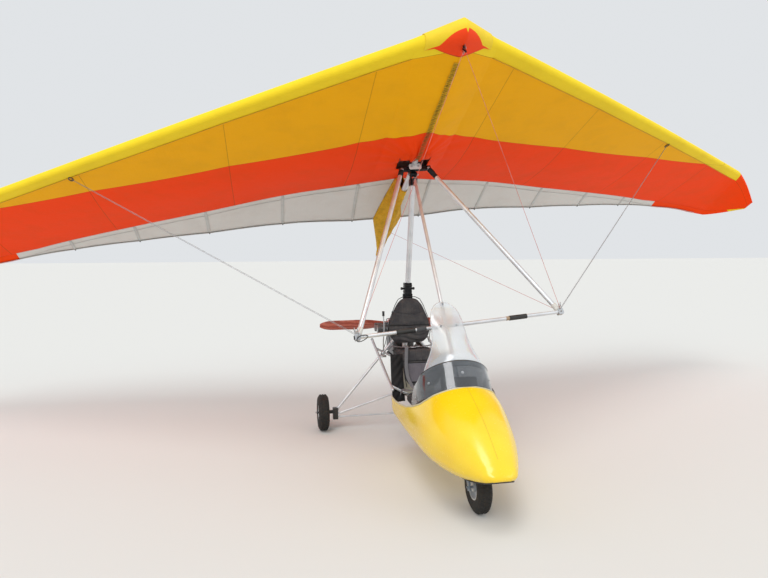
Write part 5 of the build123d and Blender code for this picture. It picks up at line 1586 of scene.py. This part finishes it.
def wheels():
    """Three tyres with block tread, and on each wheel's outside its nuts and a valve."""
    for body, name, replaced, place, sides, outer, half, rim_half in WHEELS:
        centre = spot(*place)
        shape = Shape().grid(tyre_grid(centre, outer, half, rim_half)[::-1], close_u=True)
        obj = piece(name, shape, RUBBER, body, replaces=(replaced,))
        face_outwards(obj.data)
        nuts = Shape()
        for side in sides:
            for turn in turns(5) + 0.3:
                nuts.bolt(centre + [side * 0.0035, 0.050 * cos(turn), 0.050 * sin(turn)], (side, 0, 0), 0.007)
        at = centre + [sides[0] * 0.010, 0.0, 0.066]
        nuts.rod(at, at + [sides[0] * 0.028, 0, -0.012], 0.003, 8)
        piece(name + "_nuts", nuts, STEEL, body, smooth=False)


# The wing's fittings

APEX = np.array([0.122, -0.060, -0.045])
CORNER = np.array([0.812, -0.338, -1.594])
NOSE_TANG = np.array([0.0, -1.4965, -0.068])


def along_upright(side, shares):
    """Points on an upright's middle line, at shares of the way down from the apex."""
    a, b = signed(APEX, side), signed(CORNER, side)
    return in_row(a + (b - a) * np.asarray(shares, float)[:, None])


def loop_round(middle, first, second, count=16):
    """Points of an ellipse round a middle, its two half axes given as vectors."""
    turn = turns(count)[:, None]
    return middle + np.cos(turn) * np.asarray(first, float) + np.sin(turn) * np.asarray(second, float)


def apex_pieces():
    """The enamelled plate in front of the uprights' tops with its bolts, clamps round the tops with a strap
    sleeve on the left one, and white sleeves round the uprights' lower ends."""
    plate, bolts, dark = Shape(), Shape(), Shape()
    y = APEX[1] - 0.0165
    path = [(0, y - 0.002, z) for z in np.linspace(-0.060, -0.004, 6)]
    widths = [0.050, 0.056, 0.058, 0.058, 0.056, 0.050]
    plate.sweep(in_row(path), slab_profile(2.0, 0.07), wing_way((1, 0, 0)), widths)
    piece("apex_plate", plate, WHITE_PLATE, "wing", smooth=False)
    forward = wing_way((0, -1, 0))
    for x in (-0.030, 0.030):
        bolts.bolt(in_row((x, y - 0.0045, -0.030)), forward, 0.0085)
    for side, name in ((-1, "upright_sleeve_right"), (1, "upright_sleeve_left")):
        clamp = along_upright(side, [0.010, 0.016, 0.042, 0.048])
        dark.sweep(clamp, ring(0.0235, 24), (0, 1, 0), [0.92, 1, 1, 0.92])
        if side > 0:
            sleeve = along_upright(side, np.linspace(0.018, 0.072, 12))
            dark.sweep(sleeve, ring(0.0205, 24), (0, 1, 0), 1 + 0.03 * np.sin(np.arange(12) * 2.2))
        bolts.bolt(in_row((side * APEX[0], y, APEX[2] - 0.002)), forward, 0.009)
        foot = along_upright(side, [0.955, 0.960, 0.983, 0.988])
        lower = Shape().sweep(foot, ring(0.0215, 28), (0, 1, 0), [0.95, 1, 1, 0.95])
        piece(name, lower, WHITE_PLASTIC, "wing")
    piece("apex_bolts", bolts, STEEL, "wing", smooth=False)
    piece("apex_clamps", dark, BLACK_CLOTH, "wing")


# the eyes at a lower corner, counted from it: x outwards, y and z
CORNER_EYES = ((0.0, -0.024, 0.018), (0.0, 0.024, 0.018), (0.012, -0.010, 0.026), (0.012, 0.010, 0.026))


def corner_pieces():
    """At each lower corner of the control frame: shackles for the wires with their ferrules, bolts and a cap
    on the bar's end, and a loop of strap at the right one."""
    steel, dark = Shape(), Shape()
    for side in (-1, 1):
        corner = signed(CORNER, side)
        for eye in CORNER_EYES:
            at = corner + signed(eye, side)
            lift = unit([side * eye[0] * 8, eye[1] * 8, 0.5])
            across = unit(np.cross(lift, (1.0, 0.2, 0)))
            steel.hoop(in_row(loop_round(at + lift * 0.010, 0.009 * lift, 0.009 * across)), 0.0022)
            steel.rod(in_row(at + lift * 0.018), in_row(at + lift * 0.046), 0.0030, 10)
        for way in (-1, 1):
            at = in_row(corner + [side * 0.004, way * 0.0215, 0.0])
            steel.bolt(at, wing_way((0, way, 0)), 0.008)
        end = corner + [side * 0.024, 0, 0]
        dark.rod(in_row(end), in_row(end + [side * 0.006, 0, 0]), 0.0150, 20)
    turn = np.linspace(0, 2 * pi, 40)[:-1]
    loop = signed(CORNER, -1) + np.stack([0.042 * np.cos(turn) + 0.026, 0.012 * np.sin(2 * turn) - 0.026,
                                          0.020 * np.sin(turn) - 0.016 + 0.010 * np.cos(turn)], -1)
    dark.hoop(in_row(loop), 0.0032)
    piece("corner_shackles", steel, STEEL, "wing")
    piece("corner_caps", dark, BLACK_CLOTH, "wing")


GROMMET_X = 2.874                # where the side wires pass into the sail
LINK_TALL = 0.0105
LINK_WIDE = 0.0065


def nose_pieces():
    """Under the nose: a short chain that gathers the front wires below the tang, and the dark grommets where
    the side wires pass into the sail."""
    chain, dark = Shape(), Shape()
    for k, dx in enumerate((0.0, 0.001, -0.001, 0.0)):
        middle = NOSE_TANG + [dx, -0.006 * k, 0.018 - 0.012 * k]
        across = (0, LINK_WIDE, 0) if k % 2 else (LINK_WIDE, 0, 0)
        link = loop_round(middle, across, LINK_TALL * np.array([0, -0.4, -0.9]))
        chain.hoop(in_row(link), 0.0026)
    plate = NOSE_TANG + [[0.0, -0.016, 0.032], [0.0, -0.016, 0.012]]
    chain.sweep(in_row(plate), slab_profile(0.020, 0.004), wing_way((1, 0, 0)))
    piece("nose_chain", chain, BLACK, "wing")
    turn = turns(16)
    y = Chords(GROMMET_X).le_y + 0.110
    edge = on_under(GROMMET_X + 0.016 * np.cos(turn), y + 0.030 * np.sin(turn), 0.0030)
    for side in (-1, 1):
        dark.hoop(in_row(signed(edge, side)), 0.004)
    piece("wire_grommets", dark, BLACK_RUBBER, "wing")


# each tape wound on the bar: piece, from x to x, points, radius, sides of its ring, cloth, ripple
BAR_TAPES = [("tan_tape", 0.352, 0.3795, 20, 0.0158, 24, TAN_TAPE, 0.0),
             ("grip_tape", -0.367, -0.296, 60, 0.0198, 28, GREY_TAPE, 0.02)]


def bar_tapes():
    """A tan tape beside the bar's left grip, and a grey one wound over the short grip on the right half."""
    for name, start, end, count, radius, sides, cloth, ripple in BAR_TAPES:
        x = np.linspace(start, end, count)
        path = np.stack(np.broadcast_arrays(x, *CORNER[1:]), -1)
        swell = 1 + ripple * ((x / 0.012) % 1 - 0.5)
        shape = Shape().sweep(in_row(path), ring(radius, sides), (0, 1, 0), swell)
        piece(name, shape, cloth, "wing")


# The trike's small parts

MAST_FOOT = np.array([0.201, 0.350])
MAST_TOP = np.array([-0.249, 2.358])
# bolts of the frame on both sides: height on the mast and half width, then y, z and half width
MAST_BOLTS = ((1.345, 0.033), (1.290, 0.033), (0.930, 0.044), (0.905, 0.044))
KEEL_BOLTS = ((0.201, 0.385, 0.034), (0.165, 0.350, 0.034), (0.0, 0.348, 0.035), (-1.730, 0.435, 0.026))
BRACKET_BOLTS = ((-0.020, 0.190), (0.020, 0.190), (0.0, 0.118))
BRACKET_X = 0.676


def on_mast(z, out=0.0):
    """A point on the mast's middle line at a height, moved forward by out."""
    share = (z - MAST_FOOT[1]) / (MAST_TOP[1] - MAST_FOOT[1])
    return spot(0, MAST_FOOT[0] + share * (MAST_TOP[0] - MAST_FOOT[0]) - out, z)


def frame_bolts():
    """Bolts of the brackets on the mast, the keel and the hub brackets, the axle nuts and the hang bolt."""
    shape = Shape()
    for side in (-1, 1):
        for z, half in MAST_BOLTS:
            shape.bolt(on_mast(z) + [side * half, 0, 0], (side, 0, 0))
        for y, z, half in KEEL_BOLTS:
            shape.bolt(spot(side * half, y, z), (side, 0, 0))
        for y, z in BRACKET_BOLTS:
            shape.bolt(spot(side * BRACKET_X, y, z), (-side, 0, 0), 0.009)
        shape.bolt(spot(side * (REAR_WHEEL[0] + 0.060), *REAR_WHEEL[1:]), (side, 0, 0), 0.013)
        shape.bolt(spot(side * 0.0385, *MAST_TOP), (side, 0, 0), 0.012)
    piece("frame_bolts", shape, STEEL, "trike", smooth=False)


def backrest_bracket():
    """Straps round the black bracket behind the rear backrest's top, and a knob on each side."""
    shape = Shape()
    turn = turns(32)
    strap = np.stack([0.0355 * power(np.cos(turn), 0.35), 0.0415 * power(np.sin(turn), 0.35), 0 * turn], -1)
    for z in (1.352, 1.284):
        shape.hoop(on_mast(z) + strap, 0.003)
    for side in (-1, 1):
        at = on_mast(1.318) + [side * 0.033, 0, 0]
        shape.rod(at, at + [side * 0.016, 0, 0], 0.008, 12)
        knob = at + signed([(x, 0, 0) for x in (0.014, 0.018, 0.030, 0.034)], side)
        shape.sweep(knob, ring(0.013, 16), (0, 1, 0), [0.85, 1, 1, 0.8])
    piece("backrest_knobs", shape, BLACK_PLASTIC, "trike")


def seat_sides():
    """Cloth side wings laced between each rail and the front backrest, bowed forward at the rail."""
    (low_y, low_z), (high_y, high_z) = FRONT_BACK[:2]
    s = np.linspace(0, 1, 30)[:, None]
    t = np.linspace(0, 1, 16)[None]
    z = 0.395 + (0.775 - 0.395) * s
    x = 0.168 + (0.282 - 0.168) * t - 0.018 * (s - 0.5).clip(0)
    y = low_y + (high_y - low_y) * (z - low_z) / (high_z - low_z) + 0.052 - 0.030 * t ** 2
    slack = 0.006 * np.sin(2 * pi * (s * 5 + t * 1.5)) * np.sin(pi * t)
    for side, name in ((-1, "seat_side_right"), (1, "seat_side_left")):
        shape = Shape().grid(spot(side * x, y + slack, z)[::side])
        obj = piece(name, shape, SEAT_SIDE, "trike", thick=0.002)
        stretched(obj, (0.125, 0.41), "seat_frame")


CYLINDERS_Y = (0.256, 0.400)
CRANK_Z = 0.745
PROP_SHAFT_Z = 0.900
INTAKE_Z = 0.904


def engine_pieces():
    """Spark plugs with their caps and leads, intake clamps, cone filters, head bolts, the pull starter with
    dark plugs of painted shade in its holes, rubber blocks under the plate and the fuel line."""
    dark, steel, leads, filters, cast = Shape(), Shape(), Shape(), Shape(), Shape()
    for y in CYLINDERS_Y:
        dark.rod(spot(0, y, 1.056), spot(0, y, 1.100), 0.011, 14)
        steel.rod(spot(0, y, 1.052), spot(0, y, 1.066), 0.013, 6)
        for turn in turns(4) + pi / 4:
            steel.bolt(spot(0.048 * cos(turn), y + 0.048 * sin(turn), 1.058), (0, 0, 1), 0.008)
        leads.hose([spot(0, y, 1.098), spot(0.012, y - 0.02, 1.118), spot(0.050, y - 0.05, 1.090),
                    spot(0.085, 0.190, 0.985), spot(0.090, 0.186, 0.900)], 0.0038)
        x = np.linspace(-0.165, -0.243, 40)
        pleats = 1 + 0.025 * np.sin(2 * pi * x / 0.0065)
        filters.sweep(spot(x, y, INTAKE_Z), ring(0.0425, 40), (0, 1, 0), pleats)
        steel.rod(spot(-0.246, y, INTAKE_Z), spot(-0.242, y, INTAKE_Z), 0.0400, 32)
        steel.hoop(spot(-0.150, y, INTAKE_Z) + 0.0228 * circle(20, (1, 0, 0)), 0.0024)
        for z in (0.867, 0.852):
            steel.rod(spot(-0.128, y, z - 0.004), spot(-0.128, y, z), 0.0245, 20)
        leads.hose([spot(-0.128, y, 0.952), spot(-0.125, y - 0.02, 0.985), spot(-0.090, y - 0.10, 0.990),
                    spot(-0.062, 0.110, 0.900), spot(-0.060, 0.070, 0.760)], 0.003)
    starter = [(0.0, 0.096), (-0.022, 0.096), (-0.032, 0.084), (-0.036, 0.060), (-0.038, 0.0001)]
    cast.turned(starter, spot(0, 0.168, CRANK_Z), 48, (0, 1, 0))
    # dark plugs in the pull starter's holes: painted shade inside the holes
    for turn in turns(12):
        at = spot(0.068 * cos(turn), 0.134, CRANK_Z + 0.068 * sin(turn))
        dark.rod(at, at + [0, 0.006, 0], 0.006, 8)
    for x in (-0.085, 0.085):
        for y in (0.190, 0.450):
            dark.rod(spot(x, y, 0.604), spot(x, y, 0.624), 0.018, 20)
            steel.bolt(spot(x, y, 0.604), (0, 0, -1), 0.009)
    for turn in turns(6):
        for z, radius in ((PROP_SHAFT_Z, 0.054), (CRANK_Z, 0.064)):
            steel.bolt(spot(radius * cos(turn), 0.566, z + radius * sin(turn)), (0, 1, 0), 0.007)
    leads.hose([spot(-0.06, -0.036, 0.66), spot(-0.06, 0.010, 0.66), spot(-0.070, 0.060, 0.70),
                spot(-0.090, 0.130, 0.80), spot(-0.128, 0.220, 0.845)], 0.004)
    piece("plug_caps", dark, BLACK_PLASTIC, "trike")
    piece("engine_bolts", steel, STEEL, "trike", smooth=False)
    piece("engine_leads", leads, BLACK_RUBBER, "trike")
    piece("filter_gauze", filters, FILTER, "trike")
    piece("pull_starter", cast, BLACK_STEEL, "trike")


def circle(count, axis):
    """Points of a unit circle round an axis."""
    first = unit(np.cross(axis, (0.3, 0.5, 0.8)))
    return loop_round(np.zeros(3), first, np.cross(axis, first), count)


RAKE = radians(22)               # how far the steering axis leans back, and the panel with it
FOOT_BAR_UP = 0.348              # the foot bar's place on the steering axis, above the front axle
# each dial on the panel: x, height and radius
DIALS = ((-0.085, 0.018, 0.032), (-0.012, 0.018, 0.032), (0.085, 0.018, 0.032), (0.045, -0.030, 0.020))
PANEL_AT = (0, -1.775 + 0.16 * 1.483 - 0.004, 0.420 + 0.16 * 1.902)


def instruments():
    """Four round dials with rims, white ticks and a needle on the panel."""
    rims, faces, ticks = Shape(), Shape(), Shape()
    right = np.array([1.0, 0, 0])
    up = np.array([0, sin(RAKE), cos(RAKE)])
    back = -np.cross(right, up)
    for x, height, radius in DIALS:
        at = spot(*PANEL_AT) + back * 0.0235 + right * x + up * height
        rims.hoop(loop_round(at, radius * right, radius * up, 32), 0.0022)
        faces.rod(at - back * 0.001, at + back * 0.0012, radius, 32)
        for k in range(10):
            turn = radians(230 - 28 * k)
            ray = radius * (cos(turn) * right + sin(turn) * up)
            ticks.rod(at + ray * 0.74 + back * 0.0016, at + ray * 0.92 + back * 0.0016, 0.0008, 4)
        start = at + back * 0.002
        ticks.rod(start, start + (up + 0.5 * right) * radius * 0.6, 0.0009, 4)
    piece("dial_rims", rims, STEEL, "trike")
    piece("dial_faces", faces, BLACK_PLASTIC, "trike", smooth=False)
    piece("dial_marks", ticks, WHITE_PLASTIC, "trike", smooth=False)


def controls():
    """A hand lever beside the rear seat with its cable, grips on the fork's foot bar and end plugs in the
    seat rails."""
    silver, black, grips = Shape(), Shape(), Shape()
    for side in (-1, 1):
        black.rod(spot(side * 0.290, 0.295, 0.790), spot(side * 0.290, 0.306, 0.793), 0.0128, 18)
        grip = steering_point(FOOT_BAR_UP) + signed([(x, 0, 0) for x in (0.112, 0.117, 0.196, 0.201)], side)
        grips.sweep(grip, ring(0.0145, 20), (0, 1, 0), [0.9, 1, 1, 0.9])
    silver.hose([spot(-0.245, -0.085, 0.690), spot(-0.262, -0.140, 0.830), spot(-0.258, -0.160, 0.960),
                 spot(-0.262, -0.150, 1.085)], 0.0055)
    black.rod(spot(-0.262, -0.151, 1.075), spot(-0.262, -0.149, 1.120), 0.011, 14)
    silver.rod(spot(-0.290, -0.085, 0.690), spot(-0.225, -0.085, 0.690), 0.010, 14)
    black.hose([spot(-0.250, -0.080, 0.700), spot(-0.255, 0.000, 0.690), spot(-0.200, 0.110, 0.760),
                spot(-0.130, 0.230, 0.960)], 0.003)
    piece("hand_lever", silver, STEEL, "trike")
    piece("control_grips", black, BLACK_PLASTIC, "trike")
    piece("foot_bar_grips", grips, FOAM, "fork")


def steering_point(above_axle):
    """A point of the steering axis that far above the front axle."""
    return spot(*FRONT_WHEEL) + above_axle * np.array([0, sin(RAKE), cos(RAKE)])


LINING_IN = 0.0052               # from the pod's outside to its lining


def pod_lining():
    """The pod's bare grey inside, also ahead of the cockpit, and a ribbed rubber mat on its floor."""
    y = np.linspace(-1.690, -0.724, 60)
    points = both_sides(pod_rows(y, 48, LINING_IN)[:, :-1], y)
    piece("pod_lining", Shape().grid(points), BARE_FIBREGLASS, "trike")
    y = np.linspace(-2.130, -1.692, 40)
    rows = pod_rows(y, 48, LINING_IN)[:, 16:]
    both = np.concatenate([rows * [-1, 1], rows[:, -2::-1]], 1)
    points = spot(both[..., 0], y[:, None], both[..., 1])
    piece("nose_lining", Shape().grid(points), BARE_FIBREGLASS, "trike")
    y = np.linspace(-1.640, -0.760, 221)[:, None]
    x = np.linspace(-0.165, 0.165, 12)[None]
    rib = 0.002 * (np.sin(2 * pi * y / 0.020) > 0)
    z = 0.2475 + rib + 0.012 * smooth_step((-1.35 - y) / 0.3)
    mat = Shape().grid(spot(x, y, z)[::-1])
    piece("cockpit_mat", mat, BLACK_RUBBER, "trike", smooth=False)


def pod_details():
    """The seam along the top of the pod where its halves meet, and a black strip under the nose's edge, which
    paints the shade beneath it.
    """
    y = np.linspace(-2.235, -1.700, 60)
    top = curve_through(POD_SECTIONS[:, 0], POD_SECTIONS[:, 4], y)
    seam = Shape().sweep(spot(0, y, top + 0.0001), slab_profile(0.0022, 0.0012))
    # painted shade: a black strip along the nose's lower edge
    y = np.linspace(-2.300, -2.130, 26)
    low = pod_half_section(y)[:, 12]
    left = spot(low[:, 0], y, low[:, 1])
    path = np.concatenate([left[::-1], signed(left, -1)])
    dark_strip = Shape().sweep(path + [0, 0, -0.002], slab_profile(0.010, 0.006), (0, 0, 1))
    piece("pod_seam", seam, SEAM_FILLER, "trike")
    piece("pod_nose_shade_strip", dark_strip, BLACK_RUBBER, "trike")


def small_parts():
    wheels()
    apex_pieces()
    corner_pieces()
    nose_pieces()
    bar_tapes()
    frame_bolts()
    backrest_bracket()
    seat_sides()
    engine_pieces()
    instruments()
    controls()
    pod_lining()
    pod_details()


wing_pieces()
pod_shell()
pod_trim()
screens()
seats()
small_parts()


# Floor, light and camera

CAMERA_AT = (-1.263, REAR_AXLE_Y - 5.272, 1.640)
CAMERA_TURN = (11.137, -3.453, -0.330)     # yaw to the right, pitch up, roll, in degrees
FOCAL_PIXELS = 568.94
PHOTO_WIDTH = 768


def camera_matrix():
    """Axes of a camera that looks along +Y, turned right by yaw, up by pitch and then rolled."""
    yaw, pitch, roll = (radians(a) for a in CAMERA_TURN)
    look = np.array([sin(yaw) * cos(pitch), cos(yaw) * cos(pitch), sin(pitch)])
    right = np.array([cos(yaw), -sin(yaw), 0])
    up = np.cross(right, look)
    right, up = right * cos(roll) + up * sin(roll), up * cos(roll) - right * sin(roll)
    matrix = Matrix.Identity(4)
    for row in range(3):
        for column, axis in enumerate((right, up, -look)):
            matrix[row][column] = axis[row]
    return Matrix.Translation(CAMERA_AT) @ matrix


def set_camera():
    data = bpy.data.cameras.new("camera")
    data.sensor_width = 36
    data.sensor_fit = "HORIZONTAL"
    data.lens = FOCAL_PIXELS / PHOTO_WIDTH * data.sensor_width
    camera = bpy.data.objects.new("camera", data)
    camera.matrix_world = camera_matrix()
    bpy.context.scene.collection.objects.link(camera)
    bpy.context.scene.camera = camera


FLOOR_HALF = 150.0
# the suns in front: height in degrees and strength
KEY_SUNS = (("low_key", 28, 0.5), ("middle_key", 50, 0.65), ("high_key", 72, 0.65))
KEY_WAY = (0.514, 0.857)         # the way they shine, in plan


def sun(name, direction, strength, spread):
    """A sun lamp that shines along a direction, its disc that many degrees wide so that shadows are soft."""
    data = bpy.data.lights.new(name, "SUN")
    data.energy = strength
    data.angle = radians(spread)
    obj = bpy.data.objects.new(name, data)
    obj.matrix_world = Vector(direction).to_track_quat("-Z", "Y").to_matrix().to_4x4()
    bpy.context.scene.collection.objects.link(obj)


def set_stage():
    """A wide pale floor, a pale world that also shows in gloss and glass, and a column of soft suns in
    front, as through a tall door, with a weak one from the side."""
    edge = np.array([-FLOOR_HALF, FLOOR_HALF])
    corners = np.stack(np.broadcast_arrays(edge[None], edge[:, None], 0.0), -1)
    floor = bpy.data.objects.new("floor", Shape().grid(corners).mesh("floor"))
    floor.data.materials.append(new_material("pale_floor", "#D6D5D1", 0.95, 0.0, Specular_IOR_Level=0.1))
    bpy.context.scene.collection.objects.link(floor)
    world = bpy.data.worlds.new("studio")
    bpy.context.scene.world = world
    world.use_nodes = True
    background = world.node_tree.nodes["Background"]
    background.inputs["Color"].default_value = linear("#E6E9EC")
    background.inputs["Strength"].default_value = 0.95
    for name, height, strength in KEY_SUNS:
        level = cos(radians(height))
        sun(name, (KEY_WAY[0] * level, KEY_WAY[1] * level, -sin(radians(height))), strength, 24)
    sun("fill", (-0.75, 0.55, -0.35), 0.5, 40)
    bpy.context.scene.view_settings.view_transform = "Standard"


set_camera()
set_stage()
